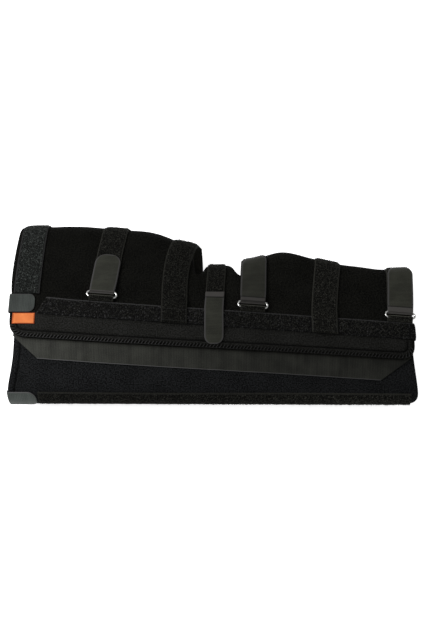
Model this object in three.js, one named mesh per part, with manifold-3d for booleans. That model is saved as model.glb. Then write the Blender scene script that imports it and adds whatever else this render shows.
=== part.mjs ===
// Knee immobilizer of three foam panels, closed into a sleeve that lies flattened on its far side.
// Millimetres, +Z up, floor at Z = 0. Thigh end at -X, ankle end at +X, the fold behind the leg at -Y
// and the open front, which the straps cross, at +Y.
// Every soft piece lies on one form: x along the leg, g round it (from the fold, positive over the
// near side and negative under the far side) and d outward from the posterior panel's outer face.

import * as THREE from 'three';
import { mergeVertices } from 'three/addons/utils/BufferGeometryUtils.js';
import Module from 'manifold-3d';

// Thicknesses
const GAP = 0.3;
const STRAP_EASE = 0.2;
const FOAM = 6;
const HOOK = 1.5;
const TAPE = 2.2;
const WEBBING = 1.8;
const TAIL = 1.6;
const LABEL = 0.8;

// Lengths and widths
const PANEL_HALF = 295;
const POSTERIOR_ENDS = { left: -291.5, right: 296.5 };
const POSTERIOR_END_DRAW = 3;
const PANEL_CORNER = 24;
const TAPE_WIDTH = 25;
const STRAP_WIDTH = 38;
const KNEE_STRAP_WIDTH = 28;
const POSTERIOR_UNDERLAP = 22;
const HOOK_UNDERLAP = 18;

// Lines along the leg: girth at the knee and its change per millimetre of x
const LINES = {
  panelEdge: { atKnee: 87, slope: -0.0665 },
  hookEdge: { atKnee: 56.7, slope: -0.072 },
  tapeCentre: { atKnee: 130.5, slope: -0.0775 },
  posteriorTape: { atKnee: 11.4, slope: -0.013 },
};

// Line of the sleeve's highest points: its y at the knee and the change per millimetre of x
const CROWN_LINE = { atKnee: -19, slope: -0.06 };

// Layers, as distances outward on the form
const PANEL_IN = 2 * GAP + HOOK;
const PANEL_OUT = PANEL_IN + FOAM;
const OUTER_IN = PANEL_OUT + GAP;
const TAPE_OUT = OUTER_IN + TAPE;
const STRAP_OUT = OUTER_IN + STRAP_EASE + WEBBING;
const OVER_TAPE = TAPE_OUT + GAP;
const OVER_STRAP = STRAP_OUT + GAP;

// Lying form
const FOLD_Y = -136.8;
const LOW_RADIUS = 27;
const FLOOR_LEVEL = TAPE_OUT;
const MID_LEVEL = FLOOR_LEVEL + LOW_RADIUS;
const FOLD_SHARE = 0.75;
const FRONT_SHARE = 0.62;
const SECTIONS = [
  { x: -300, reach: 132, crown: 80 },
  { x: -270, reach: 136, crown: 80 },
  { x: -200, reach: 135, crown: 80 },
  { x: -145, reach: 132, crown: 79.5 },
  { x: -95, reach: 125.5, crown: 77.8 },
  { x: -55, reach: 111.5, crown: 76 },
  { x: -32, reach: 96, crown: 74.6 },
  { x: -10, reach: 73, crown: 73.3 },
  { x: 22, reach: 71, crown: 71.3 },
  { x: 45, reach: 78, crown: 69.9 },
  { x: 65, reach: 82.5, crown: 68.7 },
  { x: 105, reach: 92.5, crown: 66.4 },
  { x: 150, reach: 84, crown: 65 },
  { x: 200, reach: 72.5, crown: 64 },
  { x: 250, reach: 65, crown: 63 },
  { x: 300, reach: 63, crown: 62 },
];

// Where the wings stop on the front arc, in radians above its middle
const NEAR_WING_END = THREE.MathUtils.degToRad(8);
const FAR_WING_END = THREE.MathUtils.degToRad(-50);

// Relief cuts on both sides of the knee tab, in plan: wing side, bottom and tab side
const KNEE_CUTS = [
  { wingTop: -36, wingLow: -28, bottomX: -22, bottomY: 51, tabX: 0, tabY: 77 },
  { wingTop: 50, wingLow: 49, bottomX: 46, bottomY: 49, tabX: 20, tabY: 77.5 },
];
const CUT_ROUND = 5;
const TAB_SHOULDER = 10;

// Straps: centre x where they leave the near tape and at the front, how the lean grows, and how far
// the band keeps straight across its width at the front instead of following the panel below
const STRAPS = [
  { name: 'thigh_end', low: -272, top: -271, bend: 1, end: 'tab', straight: 0, across: 2 },
  { name: 'thigh', low: -163, top: -146, bend: 1, end: 'ring', straight: 0, across: 2 },
  { name: 'above_knee', low: -56, top: -36, bend: 3, end: 'sewn', straight: 0.75, across: 4 },
  { name: 'knee', low: 2, top: 8, bend: 1, end: 'hook', straight: 0, across: 2 },
  { name: 'below_knee', low: 60, top: 65, bend: 1, end: 'ring', straight: 0, across: 3 },
  { name: 'calf', low: 164, top: 178, bend: 1.3, end: 'sewn', straight: 0, across: 2 },
  { name: 'ankle', low: 275, top: 284, bend: 1, end: 'ring', straight: 0, across: 2 },
];

const HOLD_SHARE = 0.62;
const SEWN_CLEAR = 2;
const SEWN_SETTLE = 14;

// Rings, their anchors and the tails folded back through them, which stop this far from the front
const WIRE = 1.4;
const RING_WIDTH = 45.6;
const RING_DEPTH = 11;
const RING_ABOVE_TAPE = 10;
const RING_LEVEL = OUTER_IN + TAIL + GAP + WIRE;
const TAIL_LAP = 11;
const TAIL_SETTLE = 20;
const TAIL_ENDS = { thigh: 71, below_knee: 7, ankle: 6 };
const TAIL_ROUND = 10;
const TAIL_TIP = 0.5;

// Small pieces on the near panel and the fold
const TAB_END = -259;
const NEAR_TAB = { end: TAB_END, low: 142, high: 169.5 };
const POSTERIOR_TAB = { end: -254, low: -3, high: 27 };
const TAB_ROUND = 7;
const TAPE_CLEAR = 3;
const WRAP_BULGE = 1.2;
const WRAP_RETURN = 14;
const LABEL_PLACE = { left: -291.5, right: -257, low: 124.5, high: 140.5 };
const POSTERIOR_TAPE_END = 287;
const KNEE_HOOK = { high: 171, low: 91, lap: 159.5, round: 10 };
const KNEE_HOOK_TIP = 0.6;
const HOOK_STRIP_ENDS = { left: -252, right: 243, leftSlant: 57, rightSlant: 65, limit: 289 };

// Mesh steps
const COARSE_STEP = 25;
const FINE_STEP = 10;
const KNEE_ZONE = 70;

const COLOURS = {
  panel: { color: 0x17181c, roughness: 0.95, metalness: 0 },
  posterior: { color: 0x121318, roughness: 0.97, metalness: 0 },
  tape: { color: 0x1c1d20, roughness: 0.9, metalness: 0 },
  strap: { color: 0x1a1b1e, roughness: 0.92, metalness: 0 },
  hook: { color: 0x3a3a36, roughness: 0.6, metalness: 0 },
  ring: { color: 0xc9ccd0, roughness: 0.25, metalness: 1 },
  label: { color: 0xd9541e, roughness: 0.75, metalness: 0 },
};

const sleeve = new THREE.Group();

function addPiece(name, geometry, look) {
  const mesh = new THREE.Mesh(geometry, new THREE.MeshStandardMaterial(COLOURS[look]));
  mesh.name = name;
  sleeve.add(mesh);
}

// Form

function smoothColumn(column, x) {
  const last = SECTIONS.length - 1;
  if (x <= SECTIONS[0].x) return SECTIONS[0][column];
  if (x >= SECTIONS[last].x) return SECTIONS[last][column];
  const i = SECTIONS.findLastIndex((row) => row.x <= x);
  const slopeAt = (k) => {
    if (k === 0 || k === last) return 0;
    const before = SECTIONS[k - 1];
    const after = SECTIONS[k + 1];
    return (after[column] - before[column]) / (after.x - before.x);
  };
  const from = SECTIONS[i];
  const to = SECTIONS[i + 1];
  const span = to.x - from.x;
  const t = (x - from.x) / span;
  const rise = t * t * (3 - 2 * t);
  const leave = t * (1 - t) * (1 - t) * span * slopeAt(i);
  const arrive = t * t * (t - 1) * span * slopeAt(i + 1);
  return from[column] * (1 - rise) + to[column] * rise + leave + arrive;
}

// Half of a three-centred arch: a small end arc of the given radius that runs into a large crown arc
function halfArch(span, rise, radius) {
  const crown = ((span - radius) ** 2 + rise ** 2 - radius ** 2) / (2 * (rise - radius));
  const angle = Math.atan2(crown - rise, span - radius);
  return { radius, angle, crown, endLength: radius * angle, crownLength: crown * (Math.PI / 2 - angle) };
}

function sectionAt(x) {
  const reach = smoothColumn('reach', x);
  const crown = smoothColumn('crown', x);
  const rise = crown - MID_LEVEL;
  const middle = lineAt(CROWN_LINE, x);
  const fold = halfArch(middle - FOLD_Y, rise, FOLD_SHARE * rise);
  const front = halfArch(reach - middle, rise, FRONT_SHARE * rise);
  const lowArc = LOW_RADIUS * Math.PI / 2;
  const frontStart = fold.endLength + fold.crownLength + front.crownLength;
  return {
    reach, crown, middle, fold, front, lowArc, frontStart,
    near: frontStart + front.endLength,
    flat: reach - FOLD_Y - 2 * LOW_RADIUS,
    far: 2 * lowArc + reach - FOLD_Y - 2 * LOW_RADIUS,
  };
}

function onArc(x, centreY, centreZ, radius, angle) {
  return new THREE.Vector3(x, centreY + radius * Math.cos(angle), centreZ + radius * Math.sin(angle));
}

function formPoint(x, g, d) {
  const s = sectionAt(x);
  if (g >= 0) {
    if (g <= s.fold.endLength) {
      const angle = Math.PI - g / s.fold.radius;
      return onArc(x, FOLD_Y + s.fold.radius, MID_LEVEL, s.fold.radius + d, angle);
    }
    const pastFold = g - s.fold.endLength;
    if (pastFold <= s.fold.crownLength) {
      const angle = Math.PI - s.fold.angle - pastFold / s.fold.crown;
      return onArc(x, s.middle, s.crown - s.fold.crown, s.fold.crown + d, angle);
    }
    if (g <= s.frontStart) {
      const angle = Math.PI / 2 - (pastFold - s.fold.crownLength) / s.front.crown;
      return onArc(x, s.middle, s.crown - s.front.crown, s.front.crown + d, angle);
    }
    const angle = s.front.angle - (g - s.frontStart) / s.front.radius;
    return onArc(x, s.reach - s.front.radius, MID_LEVEL, s.front.radius + d, angle);
  }
  const under = -g;
  if (under <= s.lowArc) {
    const angle = Math.PI + under / LOW_RADIUS;
    return onArc(x, FOLD_Y + LOW_RADIUS, MID_LEVEL, LOW_RADIUS + d, angle);
  }
  if (under <= s.lowArc + s.flat) {
    return new THREE.Vector3(x, FOLD_Y + LOW_RADIUS + under - s.lowArc, FLOOR_LEVEL - d);
  }
  const angle = -Math.PI / 2 + (under - s.lowArc - s.flat) / LOW_RADIUS;
  return onArc(x, s.reach - LOW_RADIUS, MID_LEVEL, LOW_RADIUS + d, angle);
}

function lineAt(line, x) {
  return line.atKnee + line.slope * x;
}

function tapeTop(x) {
  return lineAt(LINES.tapeCentre, x) + TAPE_WIDTH / 2;
}

function tapeLow(x) {
  return lineAt(LINES.tapeCentre, x) - TAPE_WIDTH / 2;
}

function smoothStep(from, to, value) {
  const t = THREE.MathUtils.clamp((value - from) / (to - from), 0, 1);
  return t * t * (3 - 2 * t);
}

function evenly(from, to, count) {
  return Array.from({ length: count + 1 }, (_, i) => from + (to - from) * i / count);
}

// Stations along the leg, closer together at the knee
function lengthStations(from, to) {
  const stretch = (start, end, step) => evenly(start, end, Math.round((end - start) / step)).slice(1);
  return [
    from,
    ...stretch(from, -KNEE_ZONE, COARSE_STEP),
    ...stretch(-KNEE_ZONE, KNEE_ZONE, FINE_STEP),
    ...stretch(KNEE_ZONE, to, COARSE_STEP),
  ];
}

function everySecond(values) {
  return values.filter((_, i) => i % 2 === 0);
}

// Solids

// Closed slab over a grid of rows and columns; place(i, j, side) gives the inner (0) or outer (1) point
function slab(rows, columns, place) {
  const positions = [];
  const index = [];
  const id = (i, j, side) => (i * columns + j) * 2 + side;
  for (let i = 0; i < rows; i += 1) {
    for (let j = 0; j < columns; j += 1) {
      positions.push(...place(i, j, 0).toArray(), ...place(i, j, 1).toArray());
    }
  }
  const quad = (a, b, c, e) => index.push(a, b, c, a, c, e);
  for (let i = 0; i + 1 < rows; i += 1) {
    for (let j = 0; j + 1 < columns; j += 1) {
      quad(id(i, j, 1), id(i + 1, j, 1), id(i + 1, j + 1, 1), id(i, j + 1, 1));
      quad(id(i, j, 0), id(i, j + 1, 0), id(i + 1, j + 1, 0), id(i + 1, j, 0));
    }
    quad(id(i, 0, 0), id(i + 1, 0, 0), id(i + 1, 0, 1), id(i, 0, 1));
    const last = columns - 1;
    quad(id(i, last, 0), id(i, last, 1), id(i + 1, last, 1), id(i + 1, last, 0));
  }
  for (let j = 0; j + 1 < columns; j += 1) {
    quad(id(0, j, 0), id(0, j, 1), id(0, j + 1, 1), id(0, j + 1, 0));
    quad(id(rows - 1, j, 0), id(rows - 1, j + 1, 0), id(rows - 1, j + 1, 1), id(rows - 1, j, 1));
  }
  return facingOut(positions, index);
}

function facingOut(positions, index) {
  const corner = (k) => new THREE.Vector3().fromArray(positions, 3 * index[k]);
  let volume = 0;
  for (let k = 0; k < index.length; k += 3) {
    volume += corner(k).dot(corner(k + 1).cross(corner(k + 2)));
  }
  const geometry = new THREE.BufferGeometry();
  geometry.setAttribute('position', new THREE.Float32BufferAttribute(positions, 3));
  geometry.setIndex(volume > 0 ? index : index.toReversed());
  geometry.computeVertexNormals();
  return geometry;
}

// Sheet on the form between two girth lines, with its own stations along and round the leg
function formSheet(alongStations, roundStations, inner, outer, xAt = (x) => x) {
  const columns = roundStations(alongStations[0]).length;
  return slab(alongStations.length, columns, (i, j, side) => {
    const g = roundStations(alongStations[i])[j];
    return formPoint(xAt(alongStations[i], g), g, side === 0 ? inner : outer);
  });
}

const wasm = await Module();
wasm.setup();

function toSolid(geometry) {
  const bare = geometry.clone();
  bare.deleteAttribute('normal');
  bare.deleteAttribute('uv');
  const merged = mergeVertices(bare);
  return new wasm.Manifold(new wasm.Mesh({
    numProp: 3,
    vertProperties: new Float32Array(merged.attributes.position.array),
    triVerts: new Uint32Array(merged.index.array),
  }));
}

function cutAway(geometry, cutters) {
  const rest = cutters.reduce((solid, cutter) => solid.subtract(toSolid(cutter)), toSolid(geometry));
  const mesh = rest.getMesh();
  const result = new THREE.BufferGeometry();
  result.setAttribute('position', new THREE.Float32BufferAttribute(mesh.vertProperties, 3));
  result.setIndex(Array.from(mesh.triVerts));
  result.computeVertexNormals();
  return result;
}

// Upright cutter with a plan outline, above or below the sleeve's middle level
function planCutter(shape, side) {
  const tall = 120;
  const reachIn = 12;
  const cutter = new THREE.ExtrudeGeometry(shape, { depth: tall, bevelEnabled: false, curveSegments: 6 });
  cutter.translate(0, 0, side > 0 ? MID_LEVEL - reachIn : MID_LEVEL + reachIn - tall);
  return cutter;
}

function kneeCutShape(cut) {
  const beyond = 160;
  const toward = Math.sign(cut.tabX - cut.bottomX);
  const shape = new THREE.Shape();
  shape.moveTo(cut.wingTop, beyond);
  shape.lineTo(cut.wingLow, cut.bottomY + 3 * CUT_ROUND);
  shape.quadraticCurveTo(cut.bottomX - toward * CUT_ROUND, cut.bottomY, cut.bottomX, cut.bottomY);
  const shoulderX = (cut.bottomX + cut.tabX) / 2;
  shape.quadraticCurveTo(cut.bottomX + toward * CUT_ROUND, cut.bottomY, shoulderX, cut.tabY - TAB_SHOULDER);
  shape.quadraticCurveTo(cut.tabX - toward * CUT_ROUND, cut.tabY - 1, cut.tabX, cut.tabY);
  shape.lineTo(cut.tabX, beyond);
  return shape;
}

// What a round corner of the side panel leaves away, in plan
function cornerCutShape(end, side) {
  const cornerX = end * PANEL_HALF;
  const cornerY = formPoint(cornerX, side * lineAt(LINES.panelEdge, cornerX), PANEL_OUT).y;
  const margin = 5;
  const shape = new THREE.Shape();
  shape.moveTo(cornerX + end * margin, cornerY - margin);
  shape.lineTo(cornerX + end * margin, cornerY + PANEL_CORNER);
  shape.lineTo(cornerX, cornerY + PANEL_CORNER);
  shape.quadraticCurveTo(cornerX, cornerY, cornerX - end * PANEL_CORNER, cornerY);
  shape.lineTo(cornerX - end * PANEL_CORNER, cornerY - margin);
  return shape;
}

// Panels

function nearPanelGirths(x) {
  const s = sectionAt(x);
  const wingEnd = s.near - s.front.radius * NEAR_WING_END;
  const edge = lineAt(LINES.panelEdge, x);
  return [...evenly(edge, s.frontStart, 8), ...evenly(s.frontStart, wingEnd, 6).slice(1)];
}

function farPanelGirths(x) {
  const s = sectionAt(x);
  const arcStart = s.lowArc + s.flat;
  const wingEnd = arcStart + LOW_RADIUS * (FAR_WING_END + Math.PI / 2);
  const edge = lineAt(LINES.panelEdge, x);
  return [...evenly(edge, arcStart, 2), ...evenly(arcStart, wingEnd, 4).slice(1)].map((g) => -g);
}

function posteriorGirths(x) {
  const s = sectionAt(x);
  const edge = lineAt(LINES.panelEdge, x) + POSTERIOR_UNDERLAP;
  return [
    ...evenly(-edge, -s.lowArc, 2),
    ...evenly(-s.lowArc, 0, 6).slice(1),
    ...evenly(0, s.fold.endLength, 6).slice(1),
    ...evenly(s.fold.endLength, edge, 3).slice(1),
  ];
}

// Everything past a station along the leg, in plan
function beyondShape(end, x) {
  const start = x - end * GAP / 2;
  const wide = 300;
  const shape = new THREE.Shape();
  shape.moveTo(start, -wide);
  shape.lineTo(start, wide);
  shape.lineTo(end * 2 * wide, wide);
  shape.lineTo(end * 2 * wide, -wide);
  return shape;
}

function sidePanel(side) {
  const sheet = formSheet(
    lengthStations(-PANEL_HALF, PANEL_HALF),
    side > 0 ? nearPanelGirths : farPanelGirths,
    PANEL_IN,
    PANEL_OUT,
  );
  const shapes = [...KNEE_CUTS.map(kneeCutShape), cornerCutShape(-1, side), cornerCutShape(1, side)];
  return cutAway(sheet, shapes.map((shape) => planCutter(shape, side)));
}

// One foam cut in three solids that meet at the relief cuts, so that no collision piece bridges a cut
function addSidePanel(name, side) {
  const panel = sidePanel(side);
  const [above, below] = KNEE_CUTS.map((cut) => cut.bottomX);
  const end = PANEL_HALF + GAP;
  [['thigh', -end, above], ['knee', above, below], ['calf', below, end]].forEach(([stretch, from, to]) => {
    const shapes = [beyondShape(-1, from), beyondShape(1, to)];
    const solid = cutAway(panel, shapes.map((shape) => planCutter(shape, side)));
    addPiece(`${name}_${stretch}`, solid, 'panel');
  });
}

function posteriorX(x, g) {
  const drawIn = POSTERIOR_END_DRAW * smoothStep(0, lineAt(LINES.panelEdge, 0), Math.abs(g));
  return x * (1 - drawIn / POSTERIOR_ENDS.right);
}

addPiece('posterior_panel', formSheet(
  everySecond(lengthStations(POSTERIOR_ENDS.left, POSTERIOR_ENDS.right)),
  posteriorGirths,
  -FOAM,
  0,
  posteriorX,
), 'posterior');
addSidePanel('near_side_panel', 1);
addSidePanel('far_side_panel', -1);

// Hook strips between the side panels and the posterior panel, with slanted ends

function hookStrip(side) {
  const ends = HOOK_STRIP_ENDS;
  const rows = 4;
  const fine = lengthStations(-PANEL_HALF, PANEL_HALF);
  const stations = side > 0 ? fine : everySecond(fine);
  return slab(stations.length, rows, (i, j, layer) => {
    const share = j / (rows - 1);
    const t = i / (stations.length - 1);
    const left = Math.max(ends.left - ends.leftSlant * share, -ends.limit);
    const right = Math.min(ends.right + ends.rightSlant * share, ends.limit);
    const x = THREE.MathUtils.lerp(left, right, t);
    const flatStart = side > 0 ? 0 : sectionAt(x).lowArc;
    const low = Math.max(lineAt(LINES.hookEdge, x), flatStart);
    const high = lineAt(LINES.panelEdge, x) + HOOK_UNDERLAP;
    return formPoint(x, side * THREE.MathUtils.lerp(low, high, share), layer === 0 ? GAP : GAP + HOOK);
  });
}

addPiece('near_hook_strip', hookStrip(1), 'hook');
addPiece('far_hook_strip', hookStrip(-1), 'hook');

// Tapes and tabs run along the leg; a route of { x, d } may wrap an end of the panel below

function lengthBand(route, thickness, rows, girthAt) {
  return slab(route.length, rows, (i, j, side) => {
    const before = route[Math.max(i - 1, 0)];
    const after = route[Math.min(i + 1, route.length - 1)];
    const along = new THREE.Vector2(after.x - before.x, after.d - before.d).normalize();
    const offset = (side - 0.5) * thickness;
    const x = route[i].x - along.y * offset;
    const d = route[i].d + along.x * offset;
    return formPoint(x, girthAt(route[i].x, j / (rows - 1)), d);
  });
}

// Half turn round a panel end, from its outer to its inner face, and a short return on the inner face
function endWrap(end, half, inner, outer, thickness) {
  const middle = (inner + outer) / 2;
  const height = (outer - inner) / 2 + GAP + thickness / 2;
  const bulge = WRAP_BULGE + thickness / 2;
  const turn = evenly(Math.PI / 2, -Math.PI / 2, 6).map((angle) => ({
    x: end * (half + bulge * Math.cos(angle)),
    d: middle + height * Math.sin(angle),
  }));
  return [...turn, { x: end * (half - WRAP_RETURN), d: middle - height }];
}

function sideTape(side) {
  const level = OUTER_IN + TAPE / 2;
  const left = side > 0 ? TAB_END + TAPE_CLEAR : -PANEL_HALF;
  const right = PANEL_HALF - TAPE_CLEAR;
  const stations = side > 0 ? lengthStations(left, right) : evenly(left, right, 4);
  const run = stations.map((x) => ({ x, d: level }));
  const wrap = side > 0 ? endWrap(1, PANEL_HALF, PANEL_IN, PANEL_OUT, TAPE) : [];
  return lengthBand([...run, ...wrap], TAPE, 3, (x, share) => (
    side * THREE.MathUtils.lerp(tapeLow(x), tapeTop(x), share)
  ));
}

function posteriorTape() {
  const stations = lengthStations(POSTERIOR_TAB.end + TAPE_CLEAR, POSTERIOR_TAPE_END);
  const route = everySecond(stations).map((x) => ({ x, d: GAP + TAPE / 2 }));
  return lengthBand(route, TAPE, 6, (x, share) => (
    lineAt(LINES.posteriorTape, x) + (share - 0.5) * TAPE_WIDTH
  ));
}

// Tab over a thigh end: a rounded flap outside and a wrap round the panel's end
function pocketTab(half, inner, outer, place, rows) {
  const level = outer + GAP + HOOK / 2;
  const flap = [0, 0.15, 0.5, 1].map((t) => ({ x: place.end - TAB_ROUND * t, d: level }));
  const route = [...flap, ...endWrap(-1, half, inner, outer, HOOK)];
  const middle = (place.low + place.high) / 2;
  const breadth = place.high - place.low;
  return lengthBand(route, HOOK, rows, (x, share) => {
    const fromEnd = Math.max(0, 1 - (place.end - x) / TAB_ROUND);
    const narrow = TAB_ROUND * (1 - Math.sqrt(1 - fromEnd * fromEnd));
    return middle + (share - 0.5) * (breadth - 2 * narrow);
  });
}

addPiece('near_stay_tape', sideTape(1), 'tape');
addPiece('far_stay_tape', sideTape(-1), 'tape');
addPiece('posterior_stay_tape', posteriorTape(), 'tape');
addPiece('near_pocket_tab', pocketTab(PANEL_HALF, PANEL_IN, PANEL_OUT, NEAR_TAB, 3), 'hook');
addPiece('posterior_pocket_tab', pocketTab(-POSTERIOR_ENDS.left, -FOAM, 0, POSTERIOR_TAB, 7), 'hook');
addPiece('side_label', formSheet(
  evenly(LABEL_PLACE.left, LABEL_PLACE.right, 4),
  () => evenly(LABEL_PLACE.low, LABEL_PLACE.high, 2),
  OUTER_IN,
  OUTER_IN + LABEL,
), 'label');

// Bands round the leg are built from rows { girthAt, d, turn, hold, width }: turn leans the thickness
// from outward toward larger girth, hold is how straight the band is held and width its share of the width

function bandRows(zones) {
  return zones.flatMap((zone, k) => evenly(0, 1, zone.steps).slice(k === 0 ? 0 : 1).map((t) => ({
    girthAt: (x) => THREE.MathUtils.lerp(zone.from(x), zone.to(x), t),
    d: THREE.MathUtils.lerp(zone.level[0], zone.level[1], smoothStep(0, 1, t)),
    hold: THREE.MathUtils.lerp(zone.hold?.[0] ?? 0, zone.hold?.[1] ?? 0, t),
    turn: 0,
    width: 1,
  })));
}

function legBand(strap, rows, thickness, width) {
  return slab(rows.length, strap.across + 1, (i, j, side) => {
    const row = rows[i];
    const u = 2 * j / strap.across - 1;
    const centre = strapCentre(strap, row.girthAt(strap.top));
    const x = centre + u * row.width * width / 2;
    const heldX = THREE.MathUtils.lerp(x, centre - width / 2, strap.straight * row.hold);
    const offset = (side - 0.5) * thickness;
    const g = row.girthAt(heldX) + offset * Math.sin(row.turn);
    return formPoint(heldX, g, row.d + offset * Math.cos(row.turn)).setX(x);
  });
}

function strapCentre(strap, g) {
  if (g < 0) return strap.top;
  const start = tapeTop(strap.low);
  const t = THREE.MathUtils.clamp((g - start) / (sectionAt(strap.top).near - start), 0, 1);
  return strap.low + (strap.top - strap.low) * t ** strap.bend;
}

function strapWidth(strap) {
  return strap.end === 'hook' ? KNEE_STRAP_WIDTH : STRAP_WIDTH;
}

const frontStart = (x) => sectionAt(x).frontStart;
const frontNear = (x) => sectionAt(x).near;
const frontFar = (x) => -sectionAt(x).far;
const farArcStart = (x) => -sectionAt(x).lowArc - sectionAt(x).flat;
const lowFront = (x) => frontFar(x) + sectionAt(x).lowArc * HOLD_SHARE;
const ringMiddle = (x) => tapeTop(x) + RING_ABOVE_TAPE;
const ringBar = RING_DEPTH / 2 - WIRE;
const strapLevel = OUTER_IN + STRAP_EASE + WEBBING / 2;
const overTapeLevel = OVER_TAPE + WEBBING / 2;

// The near end of each strap, down to where it is sewn, or where its grey end takes over
function nearEndZones(strap) {
  const toFront = { to: frontStart, steps: 7, level: [strapLevel, strapLevel], hold: [0, 0.35] };
  if (strap.end === 'tab') return [{ ...toFront, from: () => NEAR_TAB.high + GAP }];
  if (strap.end === 'hook') return [{ ...toFront, from: () => KNEE_HOOK.lap, steps: 4 }];
  const pastRing = (x) => ringMiddle(x) + ringBar + TAIL_LAP + GAP;
  if (strap.end === 'ring') return [{ ...toFront, from: pastRing, steps: 6 }];
  const tapeEdge = (x) => tapeTop(x) + SEWN_CLEAR;
  const settled = (x) => tapeEdge(x) + SEWN_SETTLE;
  return [
    { from: tapeLow, to: tapeEdge, steps: 2, level: [overTapeLevel, overTapeLevel] },
    { from: tapeEdge, to: settled, steps: 3, level: [overTapeLevel, strapLevel] },
    { ...toFront, from: settled, steps: 6 },
  ];
}

function strapRows(strap) {
  return bandRows([
    ...nearEndZones(strap),
    { from: frontStart, to: frontNear, steps: 8, level: [strapLevel, strapLevel], hold: [0.35, 1] },
    { from: frontFar, to: lowFront, steps: 5, level: [strapLevel, strapLevel], hold: [1, 0] },
    { from: lowFront, to: farArcStart, steps: 3, level: [strapLevel, strapLevel] },
    { from: farArcStart, to: (x) => -tapeTop(x) - GAP, steps: 2, level: [strapLevel, strapLevel] },
  ]);
}

// Half turn of a webbing end round one bar of a ring, from under the bar to over it
function barTurn(side, thickness) {
  const radius = WIRE + GAP + thickness / 2;
  return evenly(-Math.PI / 2, Math.PI / 2, 8).map((angle) => ({
    girthAt: (x) => ringMiddle(x) + side * (ringBar - radius * Math.cos(angle)),
    d: RING_LEVEL + radius * Math.sin(angle),
    turn: -side * (angle + Math.PI / 2),
    hold: 0,
    width: 1,
  }));
}

// Over the bar the thickness points the other way round, so the rows after a half turn keep its sense
function turnedOver(rows) {
  return rows.map((row) => ({ ...row, turn: Math.PI }));
}

function tailRows(strap) {
  const radius = WIRE + GAP + TAIL / 2;
  const low = RING_LEVEL - radius;
  const high = RING_LEVEL + radius;
  const rest = OVER_STRAP + TAIL / 2;
  const bar = (x) => ringMiddle(x) + ringBar;
  const settled = (x) => bar(x) + TAIL_SETTLE;
  const end = (x) => sectionAt(x).near - TAIL_ENDS[strap.name];
  const first = bandRows([{ from: (x) => bar(x) + TAIL_LAP, to: bar, steps: 2, level: [low, low] }]);
  const back = bandRows([
    { from: bar, to: settled, steps: 4, level: [high, rest] },
    ...(TAIL_ENDS[strap.name] > 30
      ? [{ from: settled, to: (x) => end(x) - TAIL_ROUND, steps: 2, level: [rest, rest] }]
      : [
        { from: settled, to: frontStart, steps: 3, level: [rest, rest] },
        { from: frontStart, to: (x) => end(x) - TAIL_ROUND, steps: 4, level: [rest, rest] },
      ]),
  ]);
  const round = [0.35, 0.65, 0.87, 1].map((t) => ({
    girthAt: (x) => end(x) - TAIL_ROUND * (1 - t),
    d: rest,
    hold: 0,
    turn: 0,
    width: 1 - TAIL_TIP * (1 - Math.sqrt(1 - t * t)),
  }));
  return [...first.slice(0, -1), ...barTurn(1, TAIL), ...turnedOver([...back.slice(1), ...round])];
}

function anchorRows() {
  const radius = WIRE + GAP + TAIL / 2;
  const low = RING_LEVEL - radius;
  const rest = low + TAIL + GAP;
  const edge = (x) => tapeTop(x) + GAP;
  const bar = (x) => ringMiddle(x) - ringBar;
  const first = bandRows([{ from: edge, to: bar, steps: 1, level: [low, low] }]);
  const back = bandRows([{ from: bar, to: edge, steps: 3, level: [RING_LEVEL + radius, rest] }]);
  return [...first.slice(0, -1), ...barTurn(-1, TAIL), ...turnedOver(back.slice(1))];
}

// Grey end of the knee strap: over the strap's own end, over the tape and down onto the panel
function kneeHookRows() {
  const onStrap = OVER_STRAP + HOOK / 2;
  const onTape = OVER_TAPE + HOOK / 2;
  const onPanel = OUTER_IN + HOOK / 2;
  const tapeClear = (x) => tapeLow(x) - SEWN_CLEAR;
  const tapeHigh = (x) => tapeTop(x) + SEWN_CLEAR;
  const roundStart = KNEE_HOOK.low + KNEE_HOOK.round;
  const run = bandRows([
    { from: () => KNEE_HOOK.high, to: tapeHigh, steps: 3, level: [onStrap, onTape] },
    { from: tapeHigh, to: tapeClear, steps: 2, level: [onTape, onTape] },
    { from: tapeClear, to: () => roundStart, steps: 4, level: [onTape, onPanel] },
  ]);
  const round = [0.35, 0.65, 0.87, 1].map((t) => ({
    girthAt: () => roundStart - KNEE_HOOK.round * t,
    d: onPanel,
    hold: 0,
    turn: 0,
    width: 1 - KNEE_HOOK_TIP * (1 - Math.sqrt(1 - t * t)),
  }));
  return [...run, ...round];
}

// Oval wire ring round both bars, bent with the form so that the webbing clears it evenly
function ringGeometry(strap) {
  const straight = RING_WIDTH / 2 - RING_DEPTH / 2;
  const stations = [
    ...evenly(-Math.PI / 2, Math.PI / 2, 7).map((angle) => ({ end: 1, angle })),
    ...evenly(Math.PI / 2, 1.5 * Math.PI, 7).map((angle) => ({ end: -1, angle })),
  ];
  const sides = 6;
  const positions = [];
  const index = [];
  stations.forEach(({ end, angle }, i) => {
    for (let k = 0; k < sides; k += 1) {
      const round = (k + 0.5) * 2 * Math.PI / sides;
      const out = ringBar + WIRE * Math.cos(round);
      const x = strapCentre(strap, ringMiddle(strap.low)) + end * straight + out * Math.cos(angle);
      const g = ringMiddle(x) + out * Math.sin(angle);
      positions.push(...formPoint(x, g, RING_LEVEL + WIRE * Math.sin(round)).toArray());
      const here = i * sides + k;
      const beside = i * sides + (k + 1) % sides;
      const next = ((i + 1) % stations.length) * sides;
      const ahead = next + k;
      const across = next + (k + 1) % sides;
      index.push(here, ahead, across, here, across, beside);
    }
  });
  return facingOut(positions, index);
}

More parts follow.
